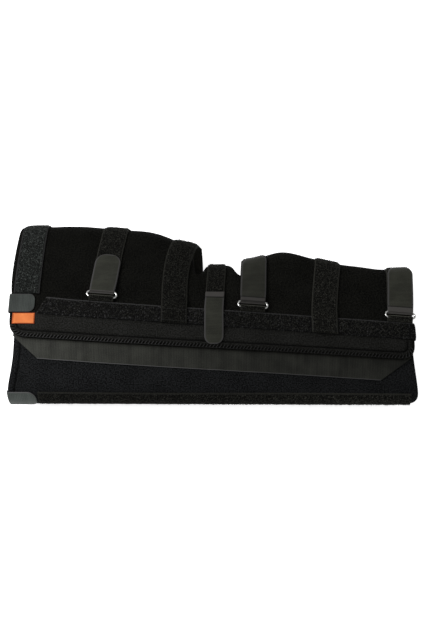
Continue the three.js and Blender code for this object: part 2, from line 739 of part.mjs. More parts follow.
STRAPS.forEach((strap) => {
  addPiece(`${strap.name}_strap`, legBand(strap, strapRows(strap), WEBBING, strapWidth(strap)), 'strap');
  if (strap.end === 'ring') {
    addPiece(`${strap.name}_tail`, legBand(strap, tailRows(strap), TAIL, STRAP_WIDTH), 'hook');
    addPiece(`${strap.name}_ring`, ringGeometry(strap), 'ring');
    addPiece(`${strap.name}_anchor`, legBand(strap, anchorRows(), TAIL, STRAP_WIDTH), 'strap');
  }
  if (strap.end === 'hook') {
    addPiece(`${strap.name}_hook_end`, legBand(strap, kneeHookRows(), HOOK, KNEE_STRAP_WIDTH), 'hook');
  }
});

// The origin is on the floor, below the middle of the whole box
const middle = new THREE.Box3().setFromObject(sleeve).getCenter(new THREE.Vector3());
sleeve.position.set(-middle.x, -middle.y, 0);

const part = new THREE.Group();
part.add(sleeve);

export default part;
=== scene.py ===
"""Looks of a black knee immobilizer of three foam panels that lies flattened on its far side.

Sizes are millimetres on the lying form of the solids: x along the leg, g round it from the fold behind
the leg (positive over the near side, negative under the far side) and d outward from the posterior panel.
Meshes are in metres, in the frame of the solids.
"""

import math
from types import SimpleNamespace

import bpy
import numpy as np
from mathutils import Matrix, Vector
from mathutils.geometry import delaunay_2d_cdt


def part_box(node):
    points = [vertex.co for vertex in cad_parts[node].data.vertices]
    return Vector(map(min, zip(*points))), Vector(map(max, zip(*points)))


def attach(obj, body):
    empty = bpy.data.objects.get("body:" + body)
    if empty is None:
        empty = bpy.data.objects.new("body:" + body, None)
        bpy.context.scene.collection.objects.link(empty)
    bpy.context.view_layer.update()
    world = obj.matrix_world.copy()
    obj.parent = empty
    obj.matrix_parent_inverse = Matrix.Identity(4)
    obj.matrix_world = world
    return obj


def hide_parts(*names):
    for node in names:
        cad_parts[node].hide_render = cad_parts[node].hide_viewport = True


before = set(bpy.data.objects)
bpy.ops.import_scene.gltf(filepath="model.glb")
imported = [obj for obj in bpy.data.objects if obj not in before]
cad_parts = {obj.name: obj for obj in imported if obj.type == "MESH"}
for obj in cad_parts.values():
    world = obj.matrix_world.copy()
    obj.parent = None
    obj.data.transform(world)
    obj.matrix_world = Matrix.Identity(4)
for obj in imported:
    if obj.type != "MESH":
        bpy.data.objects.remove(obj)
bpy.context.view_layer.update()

# Thicknesses and layers of the form
GAP = 0.3
STRAP_EASE = 0.2
FOAM = 6
HOOK = 1.5
TAPE = 2.2
WEBBING = 1.8
TAIL = 1.6
LABEL = 0.8
PANEL_IN = 2 * GAP + HOOK
PANEL_OUT = PANEL_IN + FOAM
OUTER_IN = PANEL_OUT + GAP
TAPE_OUT = OUTER_IN + TAPE
STRAP_OUT = OUTER_IN + STRAP_EASE + WEBBING
OVER_TAPE = TAPE_OUT + GAP
OVER_STRAP = STRAP_OUT + GAP

# Lengths and widths
PANEL_HALF = 295
POSTERIOR_LEFT = -291.5
POSTERIOR_RIGHT = 296.5
POSTERIOR_END_DRAW = 3
PANEL_CORNER = 24
TAPE_WIDTH = 25
STRAP_WIDTH = 38
KNEE_STRAP_WIDTH = 28
POSTERIOR_UNDERLAP = 22
HOOK_UNDERLAP = 18

# Lines along the leg: value at the knee and change per millimetre of x
PANEL_EDGE = (87, -0.0665)
HOOK_EDGE = (56.7, -0.072)
TAPE_CENTRE = (132.5, -0.0775)
POSTERIOR_TAPE_CENTRE = (11.4, -0.013)
CROWN_LINE = (-19, -0.06)

# Lying form
FOLD_Y = -136.8
LOW_RADIUS = 27
FLOOR_LEVEL = TAPE_OUT
MID_LEVEL = FLOOR_LEVEL + LOW_RADIUS
LOW_ARC = LOW_RADIUS * math.pi / 2
FOLD_SHARE = 0.75
FRONT_SHARE = 0.62
SECTIONS = np.array([
    # x, reach, crown
    (-300, 134.5, 80),
    (-270, 136, 80),
    (-200, 135, 80),
    (-145, 132, 79.5),
    (-95, 125.5, 77.8),
    (-55, 111.5, 76),
    (-32, 96, 74.6),
    (-10, 73, 73.3),
    (22, 71, 71.3),
    (45, 78, 69.9),
    (65, 82.5, 68.7),
    (105, 92.5, 66.4),
    (150, 84, 65),
    (200, 72.5, 64),
    (250, 65, 63),
    (300, 66, 62),
], float)
NEAR_WING_END = math.radians(8)
FAR_WING_END = math.radians(-50)

# Relief cuts beside the knee tab, in plan
KNEE_CUTS = (
    SimpleNamespace(wing_top=-36, wing_low=-28, bottom_x=-22, bottom_y=51, tab_x=0, tab_y=77),
    SimpleNamespace(wing_top=50, wing_low=49, bottom_x=43.5, bottom_y=52, tab_x=18.5, tab_y=77.5),
)
CUT_ROUND = 5
TAB_SHOULDER = 10

# Straps: centre x at the near tape and at the front, growth of the lean between them, near end,
# how straight the strap stays beside the relief cut, and the drop of its edges at the front
STRAPS = tuple(
    SimpleNamespace(name=name, low=low, top=top, bend=bend, end=end, straight=straight, droop=droop)
    for name, low, top, bend, end, straight, droop in (
        ("thigh_end", -272, -271, 1, "tab", 0, 0.6),
        ("thigh", -163, -146, 1, "ring", 0, 1.2),
        ("above_knee", -56, -33, 3, "sewn", 0.75, 0),
        ("knee", 2, 8, 1, "hook", 0, 3.2),
        ("below_knee", 58.8, 63.3, 1, "ring", 0, 2.2),
        ("calf", 164, 178, 1.3, "sewn", 0, 1.2),
        ("ankle", 275, 284, 1, "ring", 0, 1.8),
    )
)
STRAP_LEVEL = OUTER_IN + STRAP_EASE + WEBBING / 2
HOLD_SHARE = 0.62
FRONT_HOLD = 0.35
FRONT_NARROW = 0.17
FRONT_RUN = 70
UNDER_RUN = 45
SEWN_CLEAR = 2
SEWN_SETTLE = 14
DROOP_START = 10
DROOP_END = 25
DROOP_POWER = 6
KNEE_CURL = 6
CURL_START = 0.25

# Rings, and tails: stop before the front, length and narrowing of the round end, seams, lighter hem band
# (a painted highlight at the fold on the thigh tail), sideways drift, and how early the end narrows
WIRE = 1.4
RING_WIDTH = 45.6
RING_DEPTH = 11
RING_ABOVE_TAPE = 10
RING_LEVEL = OUTER_IN + TAIL + GAP + WIRE
RING_BAR = RING_DEPTH / 2 - WIRE
TAIL_LAP = 11
TAIL_SETTLE = 20
TAIL_WIDTH = 36.5
TAIL_SPREAD = 1.04
SPREAD_ROWS = 25
TAILS = {
    name: SimpleNamespace(stop=stop, round=length, tip=tip, seams=seams, hem_and_highlight=hem_and_highlight, drift=drift, early=early)
    for name, stop, length, tip, seams, hem_and_highlight, drift, early in (
        # the thigh tail's lighter hem band is a painted highlight at the fold
        ("thigh", 71, 15, 0.8, (), 4.5, 0, 1),
        ("below_knee", 13, 11, 0.4, (3.5, 10.5), 10.5, 1, 1.5),
        ("ankle", 11, 10, 0.36, (11.5,), 11.5, 2, 1.5),
    )
}

# Small pieces
NEAR_TAB = SimpleNamespace(end=-259, low=142, high=169.5, corner=9.1)
POSTERIOR_TAB = SimpleNamespace(end=-254, low=-3, high=27, corner=12.6)
POSTERIOR_TAB_INSET = 2
TAPE_CLEAR = 3
TAPE_SLANT = 14
SLANT_RUN = 60
TAPE_CLOTH = 1.1
TAPE_CROWN = TAPE - TAPE_CLOTH
WRAP_BULGE = 1.2
WRAP_CLEAR = 3
WRAP_RETURN = 14
LABEL_PLACE = SimpleNamespace(left=-290, right=-257.5, low=124.5, high=140.5)
POSTERIOR_TAPE_END = 287
KNEE_HOOK = SimpleNamespace(high=171, low=93, lap=159.5, round=12, tip=0.8, seams=(9.2,), hem_and_highlight=8.6)
HOOK_ENDS = SimpleNamespace(left=-252, right=243, left_slant=57, right_slant=65, limit=289)
STRIP_EASE = 0.25
STRIP_LIFT = 0.75
STRIP_LIFT_SHARE = 0.6
LABEL_CURL = 0.25
LABEL_WAVE = 7
LABEL_EASE = 0.2

# Soft finish: rounded foam edge, sewn edge band with its groove, swelling between the straps
EDGE_ROUND = 3.4
BAND_WIDTH = 10.5
BAND_BLUR = 1.5
BAND_PRESS = 0.5
PRESS_RISE = 3
GROOVE_DEPTH = 1.5
GROOVE_HALF = 1.2
INNER_PRESS = 0.6
INNER_SWELL = 0.5
PUFF = 0.22
PUFF_EDGE = (2, 14)
SHEEN_EDGE = (5.5, 7.5)
SINK = 0.3
PRESS_EDGE = (-3, 4)
SWELL = 1.2
SWELL_START = 2
SWELL_REACH = 34
THIGH_BULGE = 2.5
BULGE_LEAN = 0.58
BULGE_RUN = 40
SEWN_RUN = 8
SEWN_FADE = 200
SHEEN_BLUR = 3

# Ends of the posterior panel: how far they stand proud at the fold and draw in at the corner below it
POSTERIOR_LEFT_DRAW = (4.5, 9)
POSTERIOR_RIGHT_DRAW = (1.5, 9.5)
PROUD_RUN = (85, 15)
CORNER_RUN = (15, -17)

# Bands: rounded rim, selvedge with its painted highlight, ribs, creases, pile, mesh pitches and columns
EDGE_RIM = 0.06
EDGE_KEEP = 0.35
SELVEDGE_AND_HIGHLIGHT = 2.0
RIB_PITCH = 2.4
RIB_HEIGHT = 0.07
CREASE_HALF = 0.8
CREASE_DEPTH = 0.45
HEM_RISE = 0.3
PILE_DENSITY = 300000.0
PILE_SHARE = SimpleNamespace(strap=0.88, side_tape=0.86, posterior_tape=0.9, loop=0.9)
PILE_CLEAR = SimpleNamespace(wrap=8, strap=2.5, tab=1.5, hook=2, under=30)
PANEL_GRID = 4.0
RING_OFFSETS = (0.3, 0.9, 1.8, 3.0, 5.0, 7.2, 8.4, 9.0, 9.5, 10.0, 10.8, 12.5)
OUTLINE_PITCH = 2.2
ROW_PITCH = 2.0
FINE_PITCH = 0.6
TAPE_COLUMNS = 17
STRAP_COLUMNS = 19
UV_UNIT = 100.0

# Stitches: pitch along the seam, length, thread radius and rise
SEAMS = {
    name: SimpleNamespace(pitch=pitch, length=length, thread=thread, rise=rise)
    for name, pitch, length, thread, rise in (
        ("tape", 3.6, 2.8, 0.3, 0.8),
        ("overlock", 4.9, 5.6, 0.65, 0.9),
        ("edging", 3.3, 3.4, 0.3, 0.4),
        ("strap", 3.2, 2.4, 0.28, 0.7),
        ("label", 2.6, 2.0, 0.22, 0.5),
    )
}
OVERLOCK_SLANT = math.radians(58)
TAPE_SEAM_INSET = 1.6
SEAM_LIFT = 0.1
SEWN_BOX = SimpleNamespace(half=17, shares=(0.12, 0.8))
LOOP_SEAM = SimpleNamespace(half=16, above=2, lift=0.2)
LABEL_SEAM = SimpleNamespace(end=1.6, side=1.5, lift=0.25)
OVERLOCK_INSET = 3.6
EDGING_INSET = 1.4
EDGE_LIFT = 0.6

# Camera at the photograph's angle
CAMERA_ELEVATION = math.radians(70)
CAMERA_DISTANCE = 1200
CAMERA_AIM = (-3.0, 0.0, 35.0)
FOCAL_PIXELS = 789
FRAME_HEIGHT = 631
SENSOR = 36.0

# Floor and light, in metres
WHITE = (1.0, 1.0, 1.0, 1.0)
FLOOR_TONE = (0.93, 0.93, 0.93, 1.0)
FLOOR_GLOW = 0.8
FLOOR_HALF = 4.0
SURROUND = 0.4
KEY_LIGHT = SimpleNamespace(energy=11.5, size=0.8, place=(-0.8, 0.1, 0.75), target=(-0.2, 0.0, 0.05))

MM = 0.001
SIDES = {"near": 1, "far": -1}
PADS = {"near": "near_side_pad", "far": "far_side_pad", "posterior": "posterior_pad"}
PANEL_NODES = {
    word: [f"{word}_side_panel_{stretch}" for stretch in ("thigh", "knee", "calf")]
    for word in SIDES
}
thigh_low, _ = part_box(PANEL_NODES["near"][0])
_, calf_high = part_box(PANEL_NODES["near"][2])
fold_low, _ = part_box("posterior_panel")
SHIFT = np.array([(thigh_low.x + calf_high.x) / 2 / MM, fold_low.y / MM - FOLD_Y, 0.0])


# Form

def smooth_column(column, x):
    """Smooth curve through one column of the sections."""
    xs = SECTIONS[:, 0]
    ys = SECTIONS[:, column]
    slopes = np.zeros_like(ys)
    slopes[1:-1] = (ys[2:] - ys[:-2]) / (xs[2:] - xs[:-2])
    x = np.clip(x, xs[0], xs[-1])
    i = np.clip(np.searchsorted(xs, x, side="right") - 1, 0, len(xs) - 2)
    span = xs[i + 1] - xs[i]
    t = (x - xs[i]) / span
    rise = t * t * (3 - 2 * t)
    leave = t * (1 - t) ** 2 * span * slopes[i]
    arrive = t * t * (t - 1) * span * slopes[i + 1]
    return ys[i] * (1 - rise) + ys[i + 1] * rise + leave + arrive


def half_arch(span, rise, radius):
    """Half of a three-centred arch: a small end arc that runs into a large crown arc."""
    crown = ((span - radius) ** 2 + rise**2 - radius**2) / (2 * (rise - radius))
    angle = np.arctan2(crown - rise, span - radius)
    return SimpleNamespace(
        radius=radius, angle=angle, crown=crown,
        end_length=radius * angle, crown_length=crown * (math.pi / 2 - angle),
    )


def line_at(line, x):
    return line[0] + line[1] * x


def section_at(x):
    """Measures of the form's cross section at each x."""
    x = np.asarray(x, float)
    reach = smooth_column(1, x)
    crown = smooth_column(2, x)
    rise = crown - MID_LEVEL
    middle = line_at(CROWN_LINE, x)
    fold = half_arch(middle - FOLD_Y, rise, FOLD_SHARE * rise)
    front = half_arch(reach - middle, rise, FRONT_SHARE * rise)
    front_start = fold.end_length + fold.crown_length + front.crown_length
    flat = reach - FOLD_Y - 2 * LOW_RADIUS
    return SimpleNamespace(
        reach=reach, crown=crown, middle=middle, fold=fold, front=front, flat=flat,
        front_start=front_start, near=front_start + front.end_length, far=2 * LOW_ARC + flat,
    )


def form_point(x, g, d):
    """Points of the form, in its own millimetres."""
    x, g, d = np.broadcast_arrays(np.asarray(x, float), np.asarray(g, float), np.asarray(d, float))
    s = section_at(x)
    under = -g
    past = g - s.fold.end_length
    zones = [
        (g >= 0) & (past <= 0),
        (g >= 0) & (past <= s.fold.crown_length),
        (g >= 0) & (g <= s.front_start),
        g >= 0,
        under <= LOW_ARC,
    ]
    low = np.full_like(x, LOW_RADIUS)
    mid = np.full_like(x, MID_LEVEL)
    centre_y = np.select(
        zones,
        [FOLD_Y + s.fold.radius, s.middle, s.middle, s.reach - s.front.radius, FOLD_Y + low],
        s.reach - low,
    )
    centre_z = np.select(zones, [mid, s.crown - s.fold.crown, s.crown - s.front.crown, mid, mid], mid)
    radius = np.select(zones, [s.fold.radius, s.fold.crown, s.front.crown, s.front.radius, low], low)
    angle = np.select(
        zones,
        [
            math.pi - g / s.fold.radius,
            math.pi - s.fold.angle - past / s.fold.crown,
            math.pi / 2 - (past - s.fold.crown_length) / s.front.crown,
            s.front.angle - (g - s.front_start) / s.front.radius,
            math.pi + under / low,
        ],
        -math.pi / 2 + (under - LOW_ARC - s.flat) / low,
    )
    y = centre_y + (radius + d) * np.cos(angle)
    z = centre_z + (radius + d) * np.sin(angle)
    lying = (g < 0) & (under > LOW_ARC) & (under <= LOW_ARC + s.flat)
    y = np.where(lying, FOLD_Y + LOW_RADIUS + under - LOW_ARC, y)
    z = np.where(lying, FLOOR_LEVEL - d, z)
    return np.stack([x, y, z], axis=-1)


def place(x, g, d, real_x=None):
    """Points of the form in metres, in the frame; real_x is where a band that is held straight lies."""
    points = form_point(x, g, d)
    if real_x is not None:
        points[..., 0] = real_x
    return (points + SHIFT) * MM


def tape_top(x):
    return line_at(TAPE_CENTRE, x) + TAPE_WIDTH / 2


def tape_low(x):
    return line_at(TAPE_CENTRE, x) - TAPE_WIDTH / 2


def smooth_step(start, end, value):
    t = np.clip((value - start) / (end - start), 0, 1)
    return t * t * (3 - 2 * t)


def lerp(a, b, t):
    return a + (b - a) * t


def strap_centre(strap, g):
    """Centre of a strap along the leg, at each girth."""
    start = tape_top(strap.low)
    t = np.clip((g - start) / (section_at(strap.top).near - start), 0, 1)
    return np.where(np.asarray(g) < 0, strap.top, strap.low + (strap.top - strap.low) * t**strap.bend)


def strap_width(strap):
    return KNEE_STRAP_WIDTH if strap.end == "hook" else STRAP_WIDTH


def front_pull(x, g):
    """Share of a strap's pull on the foam: full where it bends over the front."""
    s = section_at(x)
    near = smooth_step(s.front_start - FRONT_RUN, s.front_start, g)
    under = 1 - smooth_step(0, UNDER_RUN, s.far + g)
    return np.where(g >= 0, near, under)


def strap_swell(x, g):
    """Foam that stands proud between the straps and is pressed under them."""
    clear = np.full(np.shape(x), np.inf)
    for strap in STRAPS:
        clear = np.minimum(clear, np.abs(x - strap_centre(strap, g)) - strap_width(strap) / 2)
    pressed = 1 - smooth_step(*PRESS_EDGE, clear)
    proud = smooth_step(SWELL_START, SWELL_REACH, clear)
    return front_pull(x, g) * (SWELL * proud - SINK * pressed)


# Meshes

def link_object(name, data):
    """New object in the scene."""
    obj = bpy.data.objects.new(name, data)
    bpy.context.scene.collection.objects.link(obj)
    return obj


def plain_mesh(name, points, faces):
    mesh = bpy.data.meshes.new(name)
    mesh.from_pydata(points.tolist(), [], faces)
    mesh.update()
    return mesh


def smooth_faces(mesh):
    mesh.polygons.foreach_set("use_smooth", np.ones(len(mesh.polygons), bool))


def grid_cells(rows, columns):
    """Corners of each cell of a grid of points."""
    ids = np.arange(rows * columns).reshape(rows, columns)
    return np.stack([ids[:-1, :-1], ids[:-1, 1:], ids[1:, 1:], ids[1:, :-1]], -1).reshape(-1, 4)


def new_object(name, points, faces, material, uv=None, values=None):
    """Smooth mesh object with a UV map and point attributes, its faces turned outward."""
    triangles = np.array([f[:3] for f in faces] + [(f[0], f[2], f[3]) for f in faces if len(f) == 4])
    a, b, c = (points[triangles[:, k]] for k in range(3))
    if np.einsum("ij,ij->i", a, np.cross(b, c)).sum() < 0:
        faces = [f[::-1] for f in faces]
    mesh = plain_mesh(name, points, faces)
    smooth_faces(mesh)
    if uv is not None:
        corners = np.empty(len(mesh.loops), int)
        mesh.loops.foreach_get("vertex_index", corners)
        mesh.uv_layers.new(name="cloth").data.foreach_set("uv", uv[corners].astype(np.float32).ravel())
    for key, value in (values or {}).items():
        made = mesh.attributes.new(key, "FLOAT", "POINT")
        made.data.foreach_set("value", np.asarray(value, np.float32))
    mesh.materials.append(material)
    mesh.update()
    return link_object(name, mesh)


def closed_sheet(name, outer, inner, uv, material, values):
    """Closed strip between an outer and an inner grid of points."""
    rows, columns = outer.shape[:2]
    count = rows * columns
    points = np.concatenate([outer.reshape(-1, 3), inner.reshape(-1, 3)])
    ids = np.arange(count).reshape(rows, columns)
    top = grid_cells(rows, columns)[:, [0, 3, 2, 1]]
    faces = np.concatenate([top, top[:, ::-1] + count]).tolist()
    rim = [*ids[0, ::-1], *ids[1:, 0], *ids[-1, 1:], *ids[-2:0:-1, -1]]
    for here, beside in zip(rim, rim[1:] + rim[:1]):
        faces.append((int(here), int(here + count), int(beside + count), int(beside)))
    both = {key: np.concatenate([value[0].ravel(), value[1].ravel()]) for key, value in values.items()}
    return new_object(name, points, faces, material, np.tile(uv.reshape(-1, 2), (2, 1)), both)


def piece(obj, slot, *nodes):
    """Ties a finished piece to the part."""
    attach(obj, "root")
    if nodes:
        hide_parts(*nodes)
    return obj


def sheet_piece(band, slot, node):
    """Ties a finished band of cloth to the part."""
    return piece(band.obj, slot, node)


def columns_across(count):
    """Positions across a band from -1 to 1, with two extra ones close to each edge for its rounding."""
    inner = np.linspace(-1 + EDGE_RIM, 1 - EDGE_RIM, count)
    return np.concatenate([[-1, -1 + EDGE_RIM / 4], inner, [1 - EDGE_RIM / 4, 1]])


def edge_rounding(u):
    """Share of the thickness that a band keeps across its width."""
    t = np.clip((1 - np.abs(u)) / EDGE_RIM, 0, 1)
    return EDGE_KEEP + (1 - EDGE_KEEP) * np.sqrt(1 - (1 - t) ** 2)


def travelled(points):
    """Distance along the rows of a grid, at its middle column, in millimetres."""
    middle = points[:, points.shape[1] // 2]
    steps = np.linalg.norm(np.diff(middle, axis=0), axis=1)
    return np.concatenate([[0], np.cumsum(steps)]) / MM


# Node trees

FLOAT = "NodeSocketFloat"
INTEGER = "NodeSocketInt"
VECTOR = "NodeSocketVector"
COLOUR = "NodeSocketColor"
GEOMETRY = "NodeSocketGeometry"
FINISH = "NodeSocketMaterial"


def add_node(tree, kind, inputs=None, **settings):
    """New node with its settings; an input is a value, or a socket to link."""
    made = tree.nodes.new(kind)
    for key, value in settings.items():
        setattr(made, key, value)
    for key, value in (inputs or {}).items():
        if isinstance(value, bpy.types.NodeSocket):
            tree.links.new(value, made.inputs[key])
        else:
            made.inputs[key].default_value = value
    return made


def math_node(tree, operation, *values):
    return add_node(tree, "ShaderNodeMath", dict(enumerate(values)), operation=operation).outputs[0]


def vector_node(tree, operation, *values):
    return add_node(tree, "ShaderNodeVectorMath", dict(enumerate(values)), operation=operation).outputs[0]


def noise(tree, vector, scale, detail, roughness=0.5):
    """Outputs of a noise texture."""
    inputs = {"Vector": vector, "Scale": scale, "Detail": detail, "Roughness": roughness}
    return add_node(tree, "ShaderNodeTexNoise", inputs).outputs


def map_range(tree, value, low, high, to_low=0.0, to_high=1.0, kind="SMOOTHSTEP"):
    inputs = {"Value": value, "From Min": low, "From Max": high, "To Min": to_low, "To Max": to_high}
    return add_node(tree, "ShaderNodeMapRange", inputs, interpolation_type=kind).outputs[0]


def mix_colours(tree, factor, a, b):
    return add_node(tree, "ShaderNodeMix", {0: factor, 6: a, 7: b}, data_type="RGBA").outputs[2]


def new_group(name, kind, inputs, outputs):
    """Node group with named sockets; an input has a default value, or the kind of a socket without one."""
    tree = bpy.data.node_groups.new(name, kind)
    for key, value in inputs.items():
        socket = {float: FLOAT, int: INTEGER}.get(type(value), value)
        made = tree.interface.new_socket(key, in_out="INPUT", socket_type=socket)
        if socket != value:
            made.default_value = value
    for key, socket in outputs.items():
        tree.interface.new_socket(key, in_out="OUTPUT", socket_type=socket)
    return tree, tree.nodes.new("NodeGroupInput").outputs, tree.nodes.new("NodeGroupOutput").inputs


# Shared shader groups

def cloth_group(name, **inputs):
    """Group that mixes a dark and a light tone over a cloth."""
    tones = {"Vector": VECTOR, "Dark": COLOUR, "Light": COLOUR}
    return new_group(name, "ShaderNodeTree", tones | inputs, {"Color": COLOUR, "Height": FLOAT})


def close_cloth(tree, given, out, share, height):
    """Ends a cloth group with the share of its light tone and its height."""
    tree.links.new(mix_colours(tree, share, given["Dark"], given["Light"]), out["Color"])
    tree.links.new(height, out["Height"])
    return tree


def pile_group():
    """Loop pile: lit tips and dark gaps of many small loops."""
    tree, given, out = cloth_group("Loop pile", Scale=60.0)
    warp = noise(tree, given["Vector"], given["Scale"], 2.0)
    bend = vector_node(tree, "MULTIPLY", warp["Color"], (0.02, 0.02, 0.02))
    bent = vector_node(tree, "ADD", given["Vector"], bend)
    cells = add_node(tree, "ShaderNodeTexVoronoi", {"Vector": bent, "Scale": given["Scale"]}).outputs
    loops = map_range(tree, cells["Distance"], 0.15, 0.62, 1.0, 0.0)
    tone = add_node(tree, "ShaderNodeSeparateColor", {"Color": cells["Color"]}).outputs[0]
    lit = math_node(tree, "MULTIPLY", loops, math_node(tree, "POWER", tone, 2.2))
    return close_cloth(tree, given, out, lit, loops)


def brushed_group():
    """Brushed knit: soft blotches with a fine fibre grain."""
    tree, given, out = cloth_group("Brushed knit", Grain=55.0)
    blotch = noise(tree, given["Vector"], 3.2, 3.0)[0]
    grain = noise(tree, given["Vector"], given["Grain"], 3.0, 0.7)[0]
    fine = math_node(tree, "MULTIPLY", grain, 0.75)
    both = math_node(tree, "ADD", fine, math_node(tree, "MULTIPLY", blotch, 0.09))
    return close_cloth(tree, given, out, map_range(tree, both, 0.345, 0.505), grain)


def rib_group():
    """Woven ribs across a tape, with small hooks along each rib."""
    tree, given, out = cloth_group("Hook ribs", Pitch=RIB_PITCH / UV_UNIT)
    vector = given["Vector"]
    along = add_node(tree, "ShaderNodeSeparateXYZ", {0: vector}).outputs[0]
    turns = math_node(tree, "DIVIDE", along, given["Pitch"])
    wave = math_node(tree, "COSINE", math_node(tree, "MULTIPLY", turns, 2 * math.pi))
    rib = math_node(tree, "MULTIPLY_ADD", wave, 0.5, 0.5)
    hooks = noise(tree, vector, 85.0, 2.0)[0]
    blotch = noise(tree, vector, 4.0, 2.0)[0]
    streaks = noise(tree, vector_node(tree, "MULTIPLY", vector, (1.0, 0.05, 1.0)), 16.0, 3.0)[0]
    woven = math_node(tree, "MULTIPLY_ADD", rib, 0.14, math_node(tree, "MULTIPLY", hooks, 0.6))
    mixed = math_node(tree, "MULTIPLY_ADD", streaks, 0.35, woven)
    toned = math_node(tree, "MULTIPLY_ADD", blotch, 0.5, mixed)
    return close_cloth(tree, given, out, map_range(tree, toned, 0.58, 1.02), woven)


def border_group():
    """Mask of a border: one where the given distance is under the width."""
    tree, given, out = new_group(
        "Border", "ShaderNodeTree", {"Distance": 0.0, "Width": 2.0, "Blur": 0.5}, {"Mask": FLOAT})
    inner = math_node(tree, "SUBTRACT", given["Width"], given["Blur"])
    outer = math_node(tree, "ADD", given["Width"], given["Blur"])
    tree.links.new(map_range(tree, given["Distance"], inner, outer, 1.0, 0.0), out["Mask"])
    return tree


def painted_light_group():
    """Painted light along the leg: a colour scaled from itself at a start to a share of itself at an end.
    """
    tree, given, out = new_group(
        "Painted light along the leg", "ShaderNodeTree",
        {"Vector": VECTOR, "Color": COLOUR, "Share": 0.5, "Start": -0.2, "End": 0.05}, {"Color": COLOUR})
    along = add_node(tree, "ShaderNodeSeparateXYZ", {0: given["Vector"]}).outputs[0]
    tone = map_range(tree, along, given["Start"], given["End"], 1.0, given["Share"], "LINEAR")
    scaled = add_node(tree, "ShaderNodeVectorMath", {0: given["Color"], "Scale": tone}, operation="SCALE")
    tree.links.new(scaled.outputs[0], out["Color"])
    return tree


PILE = pile_group()
BRUSHED = brushed_group()
RIBS = rib_group()
BORDER = border_group()
PAINTED_LIGHT = painted_light_group()


# Materials

def new_material(name, roughness, specular, metallic=0.0):
    material = bpy.data.materials.new(name)
    material.use_nodes = True
    tree = material.node_tree
    shader = tree.nodes["Principled BSDF"]
    shader.inputs["Roughness"].default_value = roughness
    shader.inputs["Specular IOR Level"].default_value = specular
    shader.inputs["Metallic"].default_value = metallic
    return material, tree, shader


def use_group(tree, group, **inputs):
    return add_node(tree, "ShaderNodeGroup", inputs, node_tree=group).outputs


def cloth_uv(tree):
    return add_node(tree, "ShaderNodeUVMap", uv_map="cloth").outputs[0]


def own_place(tree):
    return add_node(tree, "ShaderNodeTexCoord").outputs["Object"]


def attribute(tree, name):
    return add_node(tree, "ShaderNodeAttribute", attribute_name=name).outputs["Fac"]


def rim_mask(tree, width, blur):
    """Mask of the edge of a band."""
    return use_group(tree, BORDER, Distance=attribute(tree, "rim"), Width=width, Blur=blur)["Mask"]


def bump(tree, shader, height, distance, strength=1.0):
    made = add_node(tree, "ShaderNodeBump", {"Height": height, "Distance": distance, "Strength": strength})
    tree.links.new(made.outputs[0], shader.inputs["Normal"])


def with_painted_light(tree, colour, painted_light):
    """A colour with its painted light along the leg, if it has one."""
    if painted_light is None:
        return colour
    return use_group(tree, PAINTED_LIGHT, Vector=own_place(tree), Color=colour, **painted_light)["Color"]


def paint(tree, shader, colour, painted_light=None):
    tree.links.new(with_painted_light(tree, colour, painted_light), shader.inputs["Base Color"])


def dye(level, red=1.0, blue=1.0):
    """Linear grey with a tint."""
    return (red * level, level, blue * level, 1.0)


def warm(level):
    return dye(level, 1, 0.85)


# Tint of the lighter copy of the strap webbing, which stands in for light on the thigh end strap
def lit_strap_tint(level):
    return dye(level, 0.9, 0.93)


def olive(level, blue=0.82):
    return dye(level, 0.97, blue)


def panel_cloth(name, dark, light, sheen_dark, sheen_light, groove_and_shade, painted_light=None):
    """Brushed cloth of a foam panel: a painted sheen lightens it where its nap lies the other way, painted
    shade darkens its sewn groove, and painted light changes its tone along the leg.
    """
    material, tree, shader = new_material(name, 0.95, 0.03)
    uv = cloth_uv(tree)
    plain = use_group(tree, BRUSHED, Vector=uv, Dark=dark, Light=light)
    painted_sheen = use_group(tree, BRUSHED, Vector=uv, Dark=sheen_dark, Light=sheen_light)
    ground = with_painted_light(tree, plain["Color"], painted_light)
    knit = mix_colours(tree, attribute(tree, "nap_sheen"), ground, painted_sheen["Color"])
    paint(tree, shader, mix_colours(tree, attribute(tree, "groove_and_shade"), knit, groove_and_shade))
    bump(tree, shader, plain["Height"], 0.0006, 0.8)
    return material


def pile_cloth(name, scale, dark, light, selvedge_and_highlight, back, painted_light=None):
    """Loop webbing: pile outside, smooth selvedges lightened by a painted highlight, plain weave on the
    back.
    """
    material, tree, shader = new_material(name, 0.9, 0.06)
    pile = use_group(tree, PILE, Vector=cloth_uv(tree), Scale=scale, Dark=dark, Light=light)
    edged = mix_colours(tree, rim_mask(tree, SELVEDGE_AND_HIGHLIGHT, 0.5), pile["Color"], selvedge_and_highlight)
    paint(tree, shader, mix_colours(tree, attribute(tree, "outside"), back, edged), painted_light)
    bump(tree, shader, pile["Height"], 0.0007)
    return material


def loop_thread(name, dark, light, painted_light=None):
    """Thread of the pile's loops, lighter on some loops than on others."""
    material, tree, shader = new_material(name, 0.8, 0.1)
    tone = map_range(tree, noise(tree, own_place(tree), 420.0, 1.0)[0], 0.34, 0.7)
    paint(tree, shader, mix_colours(tree, tone, dark, light), painted_light)
    return material


